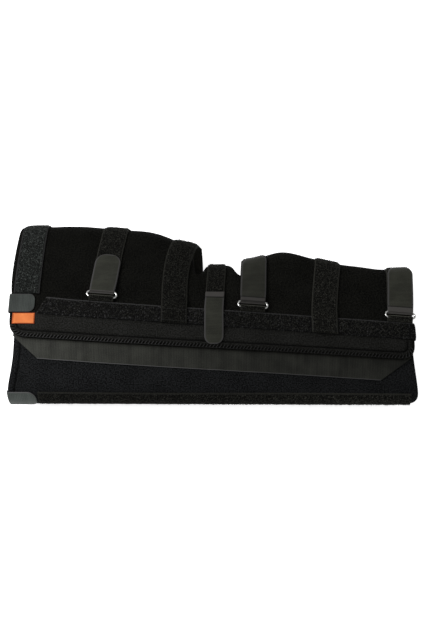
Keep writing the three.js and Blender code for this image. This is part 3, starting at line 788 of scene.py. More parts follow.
def hook_cloth(name, dark, light, selvedge_and_highlight, hem_and_highlight, rim_width, painted_light=None):
    """Hook tape: faint woven ribs with a slight gloss, a painted highlight on its edges, a lighter hem
    band that on the thigh tail is a painted highlight at the fold, dark seam lines.
    """
    material, tree, shader = new_material(name, 0.62, 0.14)
    ribs = use_group(tree, RIBS, Vector=cloth_uv(tree), Dark=dark, Light=light)
    edged = mix_colours(tree, rim_mask(tree, rim_width, 0.4), ribs["Color"], selvedge_and_highlight)
    hemmed = mix_colours(tree, attribute(tree, "hem_and_highlight"), edged, hem_and_highlight)
    paint(tree, shader, mix_colours(tree, attribute(tree, "crease"), hemmed, dye(0.003)), painted_light)
    bump(tree, shader, ribs["Height"], 0.0003)
    return material


def thread_finish(name, colour, painted_light=None):
    """Sewing thread with an uneven twist."""
    material, tree, shader = new_material(name, 0.6, 0.2)
    twist = noise(tree, own_place(tree), 900.0, 1.0)[0]
    darker = tuple(0.55 * channel for channel in colour[:3]) + (1.0,)
    paint(tree, shader, mix_colours(tree, twist, darker, colour), painted_light)
    return material


def nickel_finish():
    """Bright wire with a slight haze."""
    material, tree, shader = new_material("nickel_wire", 0.2, 0.5, 1.0)
    haze = noise(tree, own_place(tree), 240.0, 3.0)[0]
    paint(tree, shader, mix_colours(tree, haze, (0.5, 0.5, 0.49, 1.0), (0.78, 0.78, 0.76, 1.0)))
    tree.links.new(map_range(tree, haze, 0.0, 1.0, 0.12, 0.3, "LINEAR"), shader.inputs["Roughness"])
    return material


def label_cloth():
    """Blank woven label with a satin ground and painted shade along its rim."""
    material, tree, shader = new_material("orange_label", 0.6, 0.2)
    uv = cloth_uv(tree)
    weave = add_node(
        tree, "ShaderNodeTexWave", {"Vector": uv, "Scale": 42.0, "Distortion": 0.4}, bands_direction="Y",
    ).outputs["Fac"]
    tone = math_node(tree, "MULTIPLY_ADD", weave, 0.35, noise(tree, uv, 9.0, 3.0)[0])
    body = mix_colours(tree, tone, (0.54, 0.117, 0.028, 1.0), (0.87, 0.26, 0.076, 1.0))
    # Painted shade: darker along the label's rim
    paint(tree, shader, mix_colours(tree, rim_mask(tree, 0.9, 0.3), body, (0.36, 0.06, 0.015, 1.0)))
    bump(tree, shader, weave, 0.0003)
    return material


# Painted light and shade: tones scaled along the leg, and lit and shaded copies of the hook pieces
# Painted light: the strip and the edge thread darken toward the ankle end, the side panels and straps
# lighten toward it
STRIP_PAINTED_LIGHT = {"Share": 0.65, "Start": -0.2, "End": 0.05}
EDGE_PAINTED_LIGHT = {"Share": 0.36, "Start": -0.2, "End": 0.05}
PANEL_PAINTED_LIGHT = {"Share": 1.48, "Start": -0.2, "End": 0.15}
STRAP_PAINTED_LIGHT = {"Share": 1.5, "Start": 0.0, "End": 0.18}
# Painted light: each tail and tab is a lighter or darker copy of the same hook tape, for how light falls
# on it
TAIL_PAINTED_LIGHT = {"thigh": 0.93, "knee": 1.0, "below_knee": 0.78, "ankle": 1.24}
TAB_PAINTED_LIGHT = {"near": 0.75, "posterior": 1.42}

# Side cloth: plain tones, the lighter tones of the painted sheen below the tape, and the painted shade of
# the groove
side_cloth = panel_cloth(
    "side_panel_cloth",
    warm(0.0007), warm(0.0069), warm(0.005), dye(0.0195, 1, 0.95), dye(0.0008), PANEL_PAINTED_LIGHT)
posterior_cloth = panel_cloth(
    "posterior_panel_cloth",
    dye(0.0018, 0.95, 1.05), dye(0.016, 0.95, 1.05), dye(0.002), dye(0.011), dye(0.002))
# Painted light: the back colour, the strap's plain weave inside, is lightened where it shows inside curled
# straps
strap_cloth = pile_cloth(
    "loop_strap_cloth", 42, warm(0.0025), warm(0.041), warm(0.014), warm(0.042), STRAP_PAINTED_LIGHT)
# Painted light: a lighter copy of the strap webbing and its pile thread, for the thigh end strap that the
# light falls on
lit_strap_cloth = pile_cloth("painted_light_strap_cloth", 38, lit_strap_tint(0.006), lit_strap_tint(0.085), dye(0.017), dye(0.02))
# The tape's selvedge colour is a painted highlight along its upper edge
tape_cloth = pile_cloth("loop_tape_cloth", 40, dye(0.003), dye(0.05), dye(0.032), dye(0.02))
pile_thread = loop_thread("pile_thread", warm(0.0098), warm(0.036), STRAP_PAINTED_LIGHT)
lit_pile_thread = loop_thread("lit_pile_thread", lit_strap_tint(0.02), lit_strap_tint(0.085))
strip_tape = hook_cloth(
    "hook_strip_cloth", olive(0.0096), olive(0.0325), dye(0.065), olive(0.03), 1.1, STRIP_PAINTED_LIGHT)
tail_tapes = {
    word: hook_cloth(
        f"{word}_tail_cloth", olive(0.014 * tone, 0.76), olive(0.029 * tone, 0.76),
        dye(0.036 * tone, 1.02, 0.98), dye(0.042 * tone, 1.06, 0.94), 2.2)
    for word, tone in TAIL_PAINTED_LIGHT.items()
}
tab_tapes = {
    word: hook_cloth(
        f"{word}_tab_cloth", dye(0.027 * tone, 0.86, 0.91), dye(0.056 * tone, 0.86, 0.91),
        dye(0.05 * tone), dye(0.05 * tone), 1.2)
    for word, tone in TAB_PAINTED_LIGHT.items()
}
black_thread = thread_finish("black_thread", dye(0.009))
grey_thread = thread_finish("grey_thread", dye(0.024))
edge_thread = thread_finish("edge_thread", dye(0.032), EDGE_PAINTED_LIGHT)
orange_thread = thread_finish("orange_thread", (0.3, 0.06, 0.02, 1.0))
nickel_wire = nickel_finish()
orange_label = label_cloth()


# What is grown by Geometry Nodes

def thread_arch(tree, length, crest, thread, sides, caps=False):
    """Short arched thread, as a mesh."""
    half = math_node(tree, "MULTIPLY", length, 0.5)
    start, middle, end = (
        add_node(tree, "ShaderNodeCombineXYZ", {axis: value}).outputs[0]
        for axis, value in ((0, math_node(tree, "MULTIPLY", half, -1.0)), (2, crest), (0, half))
    )
    arc = add_node(
        tree, "GeometryNodeCurveQuadraticBezier",
        {"Resolution": 4, "Start": start, "Middle": middle, "End": end},
    )
    section = add_node(tree, "GeometryNodeCurvePrimitiveCircle", {"Resolution": sides, "Radius": thread})
    return add_node(
        tree, "GeometryNodeCurveToMesh",
        {"Curve": arc.outputs[0], "Profile Curve": section.outputs[0], "Fill Caps": caps},
    ).outputs[0]


def close_growth(tree, given, out, **placing):
    """Ends a tree with copies on points, made real and given their finish."""
    placed = add_node(tree, "GeometryNodeInstanceOnPoints", placing)
    real = add_node(tree, "GeometryNodeRealizeInstances", {"Geometry": placed.outputs[0]})
    finished = add_node(
        tree, "GeometryNodeSetMaterial", {"Geometry": real.outputs[0], "Material": given["Finish"]})
    tree.links.new(finished.outputs[0], out["Copies"])
    return tree


def stitch_tree():
    """Stitches on points: each is a short arched thread along its point's direction."""
    tree, given, out = new_group(
        "Thread stitches", "GeometryNodeTree",
        {"Points": GEOMETRY, "Length": 0.003, "Rise": 0.0006, "Thread": 0.0003, "Finish": FINISH},
        {"Copies": GEOMETRY},
    )
    thread = thread_arch(tree, given["Length"], given["Rise"], given["Thread"], 5, True)
    along, facing = (
        add_node(
            tree, "GeometryNodeInputNamedAttribute", {"Name": name}, data_type="FLOAT_VECTOR").outputs[0]
        for name in ("along", "facing")
    )
    upright = add_node(tree, "FunctionNodeAlignRotationToVector", {"Vector": facing}, axis="Z")
    turned = add_node(
        tree, "FunctionNodeAlignRotationToVector",
        {"Rotation": upright.outputs[0], "Vector": along}, axis="X", pivot_axis="Z",
    )
    return close_growth(
        tree, given, out, Points=given["Points"], Instance=thread, Rotation=turned.outputs[0])


def pile_tree():
    """Pile: small thread loops scattered over a mesh, turned and tilted at random."""
    tree, given, out = new_group(
        "Pile loops", "GeometryNodeTree",
        {
            "Ground": GEOMETRY, "Density": 300000.0, "Width": 0.0018, "Height": 0.0011,
            "Thread": 0.00022, "Seed": 7, "Finish": FINISH,
        },
        {"Copies": GEOMETRY},
    )
    crest = math_node(tree, "MULTIPLY", given["Height"], 2.0)
    loop = thread_arch(tree, given["Width"], crest, given["Thread"], 3)
    seed = given["Seed"]
    spots = add_node(
        tree, "GeometryNodeDistributePointsOnFaces",
        {"Mesh": given["Ground"], "Density": given["Density"], "Seed": seed},
    )
    lean = add_node(
        tree, "FunctionNodeRandomValue",
        {0: (-0.7, -0.7, 0.0), 1: (0.7, 0.7, 2 * math.pi), "Seed": seed}, data_type="FLOAT_VECTOR",
    )
    turn = add_node(tree, "FunctionNodeEulerToRotation", {0: lean.outputs[0]})
    turned = add_node(
        tree, "FunctionNodeRotateRotation",
        {0: spots.outputs["Rotation"], 1: turn.outputs[0]}, rotation_space="LOCAL",
    )
    size = add_node(tree, "FunctionNodeRandomValue", {2: 0.65, 3: 1.25, "Seed": seed}, data_type="FLOAT")
    return close_growth(
        tree, given, out, Points=spots.outputs["Points"], Instance=loop,
        Rotation=turned.outputs[0], Scale=size.outputs[1],
    )


STITCHES = stitch_tree()
PILE_LOOPS = pile_tree()


def grown(name, mesh, tree, values):
    """Plain mesh object of what a node tree makes on a mesh, with the values set by identifier."""
    source = link_object(name + "_source", mesh)
    modifier = source.modifiers.new(tree.name, "NODES")
    modifier.node_group = tree
    for item in tree.interface.items_tree:
        if item.name in values and item.in_out == "INPUT":
            modifier[item.identifier] = values[item.name]
    graph = bpy.context.evaluated_depsgraph_get()
    made = bpy.data.meshes.new_from_object(source.evaluated_get(graph))
    bpy.data.objects.remove(source)
    made.name = name
    smooth_faces(made)
    return link_object(name, made)


def pile_on(name, grid, where, slot, thread):
    """Piece of pile loops on the cells of a grid whose four corners are all marked."""
    cells = grid_cells(*grid.shape[:2])
    cells = cells[where.ravel()[cells].all(1)]
    used, cells = np.unique(cells, return_inverse=True)
    ground = plain_mesh(name + "_ground", grid.reshape(-1, 3)[used], cells.reshape(-1, 4).tolist())
    return piece(grown(name, ground, PILE_LOOPS, {"Density": PILE_DENSITY, "Finish": thread}), slot)


# Foam panels

def polyline(*stretches):
    """One list of points from several stretches."""
    return np.concatenate([np.atleast_2d(np.asarray(part, float)) for part in stretches])


def bezier(start, control, end, count=12):
    """Points of a quadratic curve."""
    t = np.linspace(0, 1, count)[:, None]
    start, control, end = (np.asarray(p, float) for p in (start, control, end))
    return (1 - t) ** 2 * start + 2 * t * (1 - t) * control + t**2 * end


def even_outline(points, pitch, rounds):
    """Closed outline with even steps and its corners smoothed."""
    loop = np.vstack([points, points[:1]])
    lengths = np.concatenate([[0], np.cumsum(np.linalg.norm(np.diff(loop, axis=0), axis=1))])
    stations = np.linspace(0, lengths[-1], int(lengths[-1] / pitch), endpoint=False)
    even = np.stack([np.interp(stations, lengths, loop[:, k]) for k in range(2)], -1)
    for _ in range(rounds):
        even = 0.5 * even + 0.25 * (np.roll(even, 1, 0) + np.roll(even, -1, 0))
    return even if signed_area(even) > 0 else even[::-1]


def distance_to(outline, points):
    """Distance from each point to a closed outline."""
    ends = np.roll(outline, -1, 0)
    along = ends - outline
    best = np.full(len(points), np.inf)
    for start in range(0, len(points), 2000):
        part = points[start:start + 2000, None]
        t = np.einsum("nkj,kj->nk", part - outline, along) / np.einsum("kj,kj->k", along, along)
        nearest = outline + np.clip(t, 0, 1)[..., None] * along
        best[start:start + 2000] = np.linalg.norm(part - nearest, axis=2).min(1)
    return best


def inside(outline, points):
    """Whether each point lies inside a closed outline."""
    ends = np.roll(outline, -1, 0)
    within = np.zeros(len(points), bool)
    for (x0, y0), (x1, y1) in zip(outline, ends):
        crosses = (y0 > points[:, 1]) != (y1 > points[:, 1])
        if y0 != y1:
            within ^= crosses & (points[:, 0] < (x1 - x0) * (points[:, 1] - y0) / (y1 - y0) + x0)
    return within


def set_in(outline, offset):
    """An outline moved inward."""
    along = np.roll(outline, -1, 0) - np.roll(outline, 1, 0)
    normal = np.stack([-along[:, 1], along[:, 0]], -1) / np.linalg.norm(along, axis=1)[:, None]
    return outline + offset * normal


def panel_points(outline):
    """Points of a panel's cut: its outline, rings close to the edge and an even grid inside."""
    rings = []
    for k, offset in enumerate(RING_OFFSETS):
        ring = set_in(outline, offset)[k % 2::1 if offset < PANEL_GRID else 2]
        rings.append(ring[distance_to(outline, ring) > 0.93 * offset])
    low, high = outline.min(0), outline.max(0)
    xs, gs = (np.arange(a + PANEL_GRID / 2, b, PANEL_GRID) for a, b in zip(low, high))
    grid = np.stack(np.meshgrid(xs, gs), -1)
    grid[1::2, :, 0] += PANEL_GRID / 2
    grid = grid.reshape(-1, 2)
    grid = grid[inside(outline, grid)]
    grid = grid[distance_to(outline, grid) > RING_OFFSETS[-1] + PANEL_GRID / 2]
    return np.concatenate([outline, *rings, grid])


def soft_swell(x, m):
    """Slow unevenness of a foam sheet."""
    slow = np.sin(x / 41 + m / 67) * np.sin(m / 29 - x / 83)
    return PUFF * (slow + 0.6 * np.sin(x / 19 + 1.3) * np.sin(m / 17))


def signed_area(outline):
    ahead = np.roll(outline, -1, 0)
    return np.sum(outline[:, 0] * ahead[:, 1] - ahead[:, 0] * outline[:, 1]) / 2


def foam_panel(name, outline, side, middle, material, sewn, nap_sheen):
    """Foam sheet on the form: round edge, pressed band with a stitched groove, slow swell."""
    flat = panel_points(outline)
    count = len(outline)
    border = [(k, (k + 1) % count) for k in range(count)]
    verts, _, faces, *_ = delaunay_2d_cdt([Vector(p) for p in flat], border, [], 1, 1e-5)
    flat = np.array([tuple(v) for v in verts])
    edge = distance_to(outline, flat)
    rim = edge < 1e-4
    x, m = flat.T
    t = np.clip(edge / EDGE_ROUND, 0, 1)
    half = FOAM / 2 * np.sqrt(1 - (1 - t) ** 2)
    band = 1 - smooth_step(BAND_WIDTH - BAND_BLUR, BAND_WIDTH + BAND_BLUR, edge)
    # Painted shade: the groove's mask also darkens the cloth in the groove
    groove_and_shade = np.exp(-(((edge - BAND_WIDTH) / GROOVE_HALF) ** 2)) * sewn(x, m)
    press = (BAND_PRESS * band * sewn(x, m) + GROOVE_DEPTH * groove_and_shade) * smooth_step(0, PRESS_RISE, edge)
    swell = soft_swell(x, m) * smooth_step(*PUFF_EDGE, edge)
    centre = middle + (strap_swell(x, m) if middle > 0 and side > 0 else 0 * x)
    outer = place(x, side * m, centre + half - press + swell)
    inner = place(x, side * m, centre - half + INNER_PRESS * press + INNER_SWELL * swell)
    kept = np.flatnonzero(~rim)
    below = np.arange(len(flat))
    below[kept] = len(flat) + np.arange(len(kept))
    faces = [tuple(f) for f in faces]
    faces += [tuple(int(below[k]) for k in f[::-1]) for f in faces]
    points = np.concatenate([outer, inner[kept]])
    every = np.concatenate([np.arange(len(flat)), kept])
    uv = np.stack([x, m], -1)[every] / UV_UNIT
    painted_sheen = nap_sheen(x, m) * smooth_step(*SHEEN_EDGE, edge)
    values = {"groove_and_shade": groove_and_shade[every], "nap_sheen": painted_sheen[every]}
    obj = new_object(name, points, faces, material, uv, values)
    return obj


def side_top(x, side):
    """Girth, as a length from the fold, where a side panel ends at the front."""
    s = section_at(x)
    if side > 0:
        return s.near - s.front.radius * NEAR_WING_END
    return LOW_ARC + s.flat + LOW_RADIUS * (FAR_WING_END + math.pi / 2)


def cut_outline(cut, side):
    """A relief cut from its wing to the tab, as x and girth."""
    toward = math.copysign(1, cut.tab_x - cut.bottom_x)
    shoulder = (cut.bottom_x + cut.tab_x) / 2
    beyond = 160
    bottom = (cut.bottom_x, cut.bottom_y)
    wing = (cut.wing_low, cut.bottom_y + 3 * CUT_ROUND)
    rise = (shoulder, cut.tab_y - TAB_SHOULDER)
    tab = (cut.tab_x, cut.tab_y)
    plan = polyline(
        np.linspace((cut.wing_top, beyond), wing, 60),
        bezier(wing, (cut.bottom_x - toward * CUT_ROUND, cut.bottom_y), bottom),
        bezier(bottom, (cut.bottom_x + toward * CUT_ROUND, cut.bottom_y), rise)[1:],
        bezier(rise, (cut.tab_x - toward * CUT_ROUND, cut.tab_y - 1), tab)[1:],
        [(cut.tab_x, beyond)],
    )
    result = []
    for x, y in plan:
        girths = np.linspace(line_at(PANEL_EDGE, x), side_top(x, side), 240)
        heights = form_point(x, side * girths, PANEL_IN + FOAM / 2)[:, 1]
        result.append((x, np.interp(y, heights, girths)))
    return np.array(result)


def side_outline(side):
    """Cut of a side panel: round lower corners, wings, relief cuts and knee tab."""
    edge = lambda x: (x, line_at(PANEL_EDGE, x))
    inset = PANEL_HALF - PANEL_CORNER
    left_up = (-PANEL_HALF, line_at(PANEL_EDGE, -PANEL_HALF) + PANEL_CORNER)
    right_up = (PANEL_HALF, line_at(PANEL_EDGE, PANEL_HALF) + PANEL_CORNER)
    top = lambda a, b: np.array([(x, side_top(x, side)) for x in np.linspace(a, b, 60)])
    left_end = np.linspace((-PANEL_HALF, side_top(-PANEL_HALF, side)), left_up, 40)[1:-1]
    above, below = (cut_outline(cut, side) for cut in KNEE_CUTS)
    points = polyline(
        bezier(left_up, edge(-PANEL_HALF), edge(-inset)),
        bezier(edge(inset), edge(PANEL_HALF), right_up),
        top(PANEL_HALF, KNEE_CUTS[1].wing_top),
        below,
        top(KNEE_CUTS[1].tab_x, KNEE_CUTS[0].tab_x),
        above[::-1],
        top(KNEE_CUTS[0].wing_top, -PANEL_HALF),
        left_end,
    )
    above_tab = NEAR_TAB.high + TAPE_CLEAR
    rise = np.clip((points[:, 1] - above_tab) / (side_top(-PANEL_HALF, side) - above_tab), 0, 1)
    at_end = smooth_step(-PANEL_HALF + BULGE_RUN, -PANEL_HALF, points[:, 0])
    points[:, 0] -= THIGH_BULGE * np.sin(math.pi * rise**BULGE_LEAN) * at_end
    return even_outline(points, OUTLINE_PITCH, 3)


def posterior_draw(g, proud, corner):
    """How far an end of the posterior panel draws in: less at the fold, more at the corner below it."""
    sides = POSTERIOR_END_DRAW * smooth_step(0, PANEL_EDGE[0], np.abs(g))
    return sides - proud * smooth_step(*PROUD_RUN, np.abs(g)) + corner * smooth_step(*CORNER_RUN, g)


def posterior_outline():
    """Cut of the posterior panel, from one underlap round the fold to the other."""
    span = np.linspace(-1, 1, 60)
    left, right = (
        span * (line_at(PANEL_EDGE, x) + POSTERIOR_UNDERLAP) for x in (POSTERIOR_LEFT, POSTERIOR_RIGHT))
    return even_outline(polyline(
        np.stack([POSTERIOR_RIGHT - posterior_draw(right, *POSTERIOR_RIGHT_DRAW), right], -1),
        np.stack([POSTERIOR_LEFT + posterior_draw(left, *POSTERIOR_LEFT_DRAW), left], -1)[::-1],
    ), OUTLINE_PITCH, 10)


def make_panels():
    """The three foam panels, each with where its edge is sewn and where a painted sheen of its nap
    lightens it.
    """
    sewn_end = PANEL_CORNER + SEWN_RUN
    lower_edge = lambda x, m: 1 - smooth_step(PANEL_CORNER, sewn_end, m - line_at(PANEL_EDGE, x))
    below_tape = lambda x, m: 1 - smooth_step(-SHEEN_BLUR, SHEEN_BLUR, m - tape_low(x))
    thigh_end = lambda x, m: 1 - smooth_step(0, SEWN_FADE, x)
    nowhere = lambda x, m: np.zeros_like(x)
    posterior = foam_panel(
        PADS["posterior"], posterior_outline(), 1, -FOAM / 2, posterior_cloth, thigh_end, nowhere)
    piece(posterior, "posterior_panel", "posterior_panel")
    middle = PANEL_IN + FOAM / 2
    for word, side in SIDES.items():
        outline = side_outline(side)
        panel = foam_panel(PADS[word], outline, side, middle, side_cloth, lower_edge, below_tape)
        piece(panel, "side_panel", *PANEL_NODES[word])


# Tapes, hook strips and tabs along the leg

def rim_distance(u, width):
    """Distance of a point across a band from its edge."""
    return (1 - np.abs(u)) * width / 2


def hook_strip(word, side):
    """Long hook strip with slanted ends and a slightly wavy free edge."""
    ends = HOOK_ENDS
    share = np.concatenate([[0, 0.012], np.linspace(0.03, 1, 18)])[None, :]
    t = np.linspace(0, 1, int(2 * PANEL_HALF / RIB_PITCH * 4))[:, None]
    left = np.maximum(ends.left - ends.left_slant * share, -ends.limit)
    right = np.minimum(ends.right + ends.right_slant * share, ends.limit)
    x = lerp(left, right, t)
    low = line_at(HOOK_EDGE, x)
    if side < 0:
        low = np.maximum(low, LOW_ARC)
    high = line_at(PANEL_EDGE, x) + HOOK_UNDERLAP
    m = lerp(low, high, share)
    wave = 0.6 + 0.5 * np.sin(x / 11 + 1.4 * np.sin(x / 37)) + 0.3 * np.sin(x / 5.1 + np.sin(x / 29))
    lift = STRIP_LIFT * wave * (1 - smooth_step(0, STRIP_LIFT_SHARE, share)) if side > 0 else 0 * x
    ribs = RIB_HEIGHT * np.cos(2 * math.pi * x / RIB_PITCH)
    thin = np.clip(0.4 + share * 30, 0, 1)
    middle = GAP + HOOK / 2 + lift - STRIP_EASE
    half = (HOOK / 2 - STRIP_EASE) * thin
    outer = place(x, side * m, middle + half + ribs * thin)
    inner = place(x, side * m, middle - half)
    # Painted highlight along the strip's free lower edge
    rim = (m - low) + 0 * x
    uv = np.stack([x, m], -1) / UV_UNIT
    strip = closed_sheet(f"{word}_hook_tape", outer, inner, uv, strip_tape, {"rim": (rim, rim)})
    return piece(strip, "hook_tape", f"{word}_hook_strip")


def end_wrap(end, half, inner, outer, thickness):
    """Half turn round a panel end and a short return on the panel's inner face."""
    middle = (inner + outer) / 2
    height = (outer - inner) / 2 + GAP + thickness / 2
    bulge = WRAP_BULGE + thickness / 2
    angle = np.linspace(math.pi / 2, -math.pi / 2, 17)
    turn = np.stack([end * (half + bulge * np.cos(angle)), middle + height * np.sin(angle)], -1)
    back = np.linspace(half - WRAP_CLEAR, half - WRAP_RETURN, 5)
    return np.concatenate([turn, np.stack([end * back, np.full(5, middle - height)], -1)])


def length_band(name, route, thickness, girth, crown, material, slant=0, highlight_side=0):
    """Tape along a route of x and d; crown lifts its middle, and a painted highlight lightens its
    selvedge, on one edge only if a side is given.
    """
    u = columns_across(TAPE_COLUMNS)[None, :]
    before = np.roll(route, 1, 0)
    after = np.roll(route, -1, 0)
    before[0] = route[0]
    after[-1] = route[-1]
    along = after - before
    along /= np.linalg.norm(along, axis=1)[:, None]
    from_start = np.abs(route[:, :1] - route[0, 0])
    x0 = route[:, :1] + slant * (u + 1) / 2 * smooth_step(SLANT_RUN, 0, from_start)
    g = girth(route[:, 0], u)
    half = thickness / 2 * edge_rounding(u)
    lift = crown * (1 - u**4) - crown

    def layer(offset):
        return place(x0 - along[:, 1:] * offset, g, route[:, 1:] + along[:, :1] * offset)

    outer = layer(half + lift)
    inner = layer(-half + lift)
    distance = travelled(outer)[:, None] + 0 * u
    width = np.abs(g[:, -1:] - g[:, :1])
    rim = rim_distance(u, width)
    if highlight_side:
        rim = np.where(u * highlight_side > 0, rim, width)
    uv = np.stack([distance, g], -1) / UV_UNIT
    flags = {"rim": (rim, rim), "outside": (np.ones_like(rim), np.zeros_like(rim))}
    obj = closed_sheet(name, outer, inner, uv, material, flags)
    return SimpleNamespace(
        obj=obj, outer=outer, x=x0 + 0 * u, u=u + 0 * g,
        length=float(distance[-1, 0]), width=float(width.mean()))


def level_run(start, end, level):
    """Route at one level."""
    xs = np.linspace(start, end, max(3, int(abs(end - start) / ROW_PITCH)))
    return np.stack([xs, np.full(len(xs), level)], -1)


def pocket_tape(word, side, line, route, cloth, slant=0, highlight_side=0):
    """Pocket tape raised over its stay."""
    girth = lambda x, u: side * (line_at(line, x)[:, None] + u * TAPE_WIDTH / 2)
    band = length_band(
        f"{word}_pocket_tape", route, TAPE_CLOTH, girth, TAPE_CROWN, cloth, slant, highlight_side)
    sheet_piece(band, "stay_tape", f"{word}_stay_tape")
    return band


def near_tape():
    """The near tape wraps the ankle end; its pile leaves the sewn straps and the hook end free."""
    wrap = end_wrap(1, PANEL_HALF, PANEL_IN, PANEL_OUT, TAPE)
    run = level_run(NEAR_TAB.end + TAPE_CLEAR, PANEL_HALF - TAPE_CLEAR, TAPE_OUT - TAPE_CLOTH / 2)
    band = pocket_tape("near", 1, TAPE_CENTRE, np.concatenate([run, wrap]), tape_cloth, TAPE_SLANT, 1)
    free = (np.abs(band.u) < PILE_SHARE.side_tape) & (band.x < PANEL_HALF - PILE_CLEAR.wrap)
    for strap in STRAPS:
        if strap.end in ("sewn", "hook"):
            free &= np.abs(band.x - strap.low) > strap_width(strap) / 2 + PILE_CLEAR.strap
    pile_on("near_tape_pile", band.outer[:, ::-1], free[:, ::-1], "stay_tape", pile_thread)


def far_tape():
    """The far tape, which lies on the floor."""
    run = level_run(-PANEL_HALF, PANEL_HALF - TAPE_CLEAR, TAPE_OUT - TAPE_CLOTH / 2)
    pocket_tape("far", -1, TAPE_CENTRE, run, tape_cloth, highlight_side=1)


def posterior_tape():
    """The tape along the posterior panel."""
    run = level_run(POSTERIOR_TAB.end + TAPE_CLEAR, POSTERIOR_TAPE_END, GAP + TAPE - TAPE_CLOTH / 2)
    band = pocket_tape("posterior", 1, POSTERIOR_TAPE_CENTRE, run, strap_cloth)
    shows = np.abs(band.u) < PILE_SHARE.posterior_tape
    pile_on("posterior_tape_pile", band.outer[:, ::-1], shows, "stay_tape", pile_thread)


def pocket_tab(word, half, inner, outer, spot):
    """Hook tab with a round end that closes a pocket and wraps the thigh end."""
    corner = spot.corner
    level = outer + GAP + HOOK / 2
    rounded = spot.end - corner * (1 - np.cos(np.linspace(0.12, math.pi / 2, 9)))
    flap = np.concatenate([rounded, np.linspace(rounded[-1], -half, 20)[1:-1]])
    route = np.concatenate([
        np.stack([flap, np.full(len(flap), level)], -1),
        end_wrap(-1, half, inner, outer, HOOK),
    ])
    middle = (spot.low + spot.high) / 2

    def girth(x, u):
        near_end = np.clip(1 - (spot.end - x) / corner, 0, 1)
        narrow = corner * (1 - np.sqrt(1 - near_end**2))
        return middle + u * ((spot.high - spot.low) / 2 - narrow)[:, None]

    band = length_band(f"{word}_hook_tab", route, HOOK, girth, 0, tab_tapes[word])
    return sheet_piece(band, "hook_tape", f"{word}_pocket_tab")


def make_label():
    """Small blank label with a slight curl along its lower edge."""
    spot = LABEL_PLACE
    x = np.linspace(spot.left, spot.right, 40)[:, None]
    u = columns_across(13)[None, :]
    g = (spot.low + spot.high) / 2 + u * (spot.high - spot.low) / 2 + 0 * x
    end = np.minimum(x - spot.left, spot.right - x)
    curl = LABEL_CURL * np.sin((x - spot.left) / LABEL_WAVE) * (1 - u) / 2
    half = LABEL / 2 * edge_rounding(u) * np.clip(0.4 + end, 0, 1)
    middle = OUTER_IN + LABEL / 2 + curl + LABEL_EASE
    outer = place(x, g, middle + half)
    inner = place(x, g, middle - half)
    rim = np.minimum(rim_distance(u, spot.high - spot.low), end)
    uv = np.stack([x + 0 * u, g], -1) / UV_UNIT
    label = closed_sheet("blank_label", outer, inner, uv, orange_label, {"rim": (rim, rim)})
    return piece(label, "label", "side_label")


def make_tapes():
    for word, side in SIDES.items():
        hook_strip(word, side)
    near_tape()
    far_tape()
    posterior_tape()
    pocket_tab("near", PANEL_HALF, PANEL_IN, PANEL_OUT, NEAR_TAB)
    pocket_tab("posterior", POSTERIOR_TAB_INSET - POSTERIOR_LEFT, -FOAM, 0, POSTERIOR_TAB)
    make_label()


# Straps

def ring_middle(x):
    return tape_top(x) + RING_ABOVE_TAPE


def row(girth, d, turn=0.0, hold=0.0, width=1.0):
    return SimpleNamespace(girth=girth, d=d, turn=turn, hold=hold, width=width)


def zone(strap, start, end, levels, hold=(0.0, 0.0), pitch=ROW_PITCH):
    """Rows of a band from one girth line to another, with its level changing smoothly."""
    length = abs(float(end(strap.top)) - float(start(strap.top)))
    rows = []
    for t in np.linspace(0, 1, max(3, int(length / pitch))):
        girth = lambda x, t=t: lerp(start(x), end(x), t)
        rows.append(row(girth, lerp(*levels, smooth_step(0, 1, t)), 0.0, lerp(*hold, t)))
    return rows


def joined(*zones):
    """Zones as one list of rows, without the row that a zone shares with the one before."""
    rows = list(zones[0])
    for rows_after in zones[1:]:
        rows += rows_after[1:]
    return rows


def round_end(start, direction, length, tip, d, early=1.0):
    """Rows of a rounded free end; early above one narrows it sooner."""
    rows = []
    for t in np.sin(np.linspace(0.1, math.pi / 2, 14)):
        girth = lambda x, t=t: start(x) + direction * length * t
        share = 1 - (1 - t) ** early
        rows.append(row(girth, d, width=1 - tip * (1 - math.sqrt(max(0.0, 1 - share * share)))))
    return rows


def bar_turn(side, thickness):
    """Half turn of a webbing end round a bar of its ring, from under the bar to over it."""
    radius = WIRE + GAP + thickness / 2
    rows = []
    for angle in np.linspace(-math.pi / 2, math.pi / 2, 15):
        girth = lambda x, angle=angle: ring_middle(x) + side * (RING_BAR - radius * math.cos(angle))
        rows.append(row(girth, RING_LEVEL + radius * math.sin(angle), -side * (angle + math.pi / 2)))
    return rows


def turned_over(rows):
    """Rows with their outer side down."""
    for each in rows:
        each.turn = math.pi
    return rows


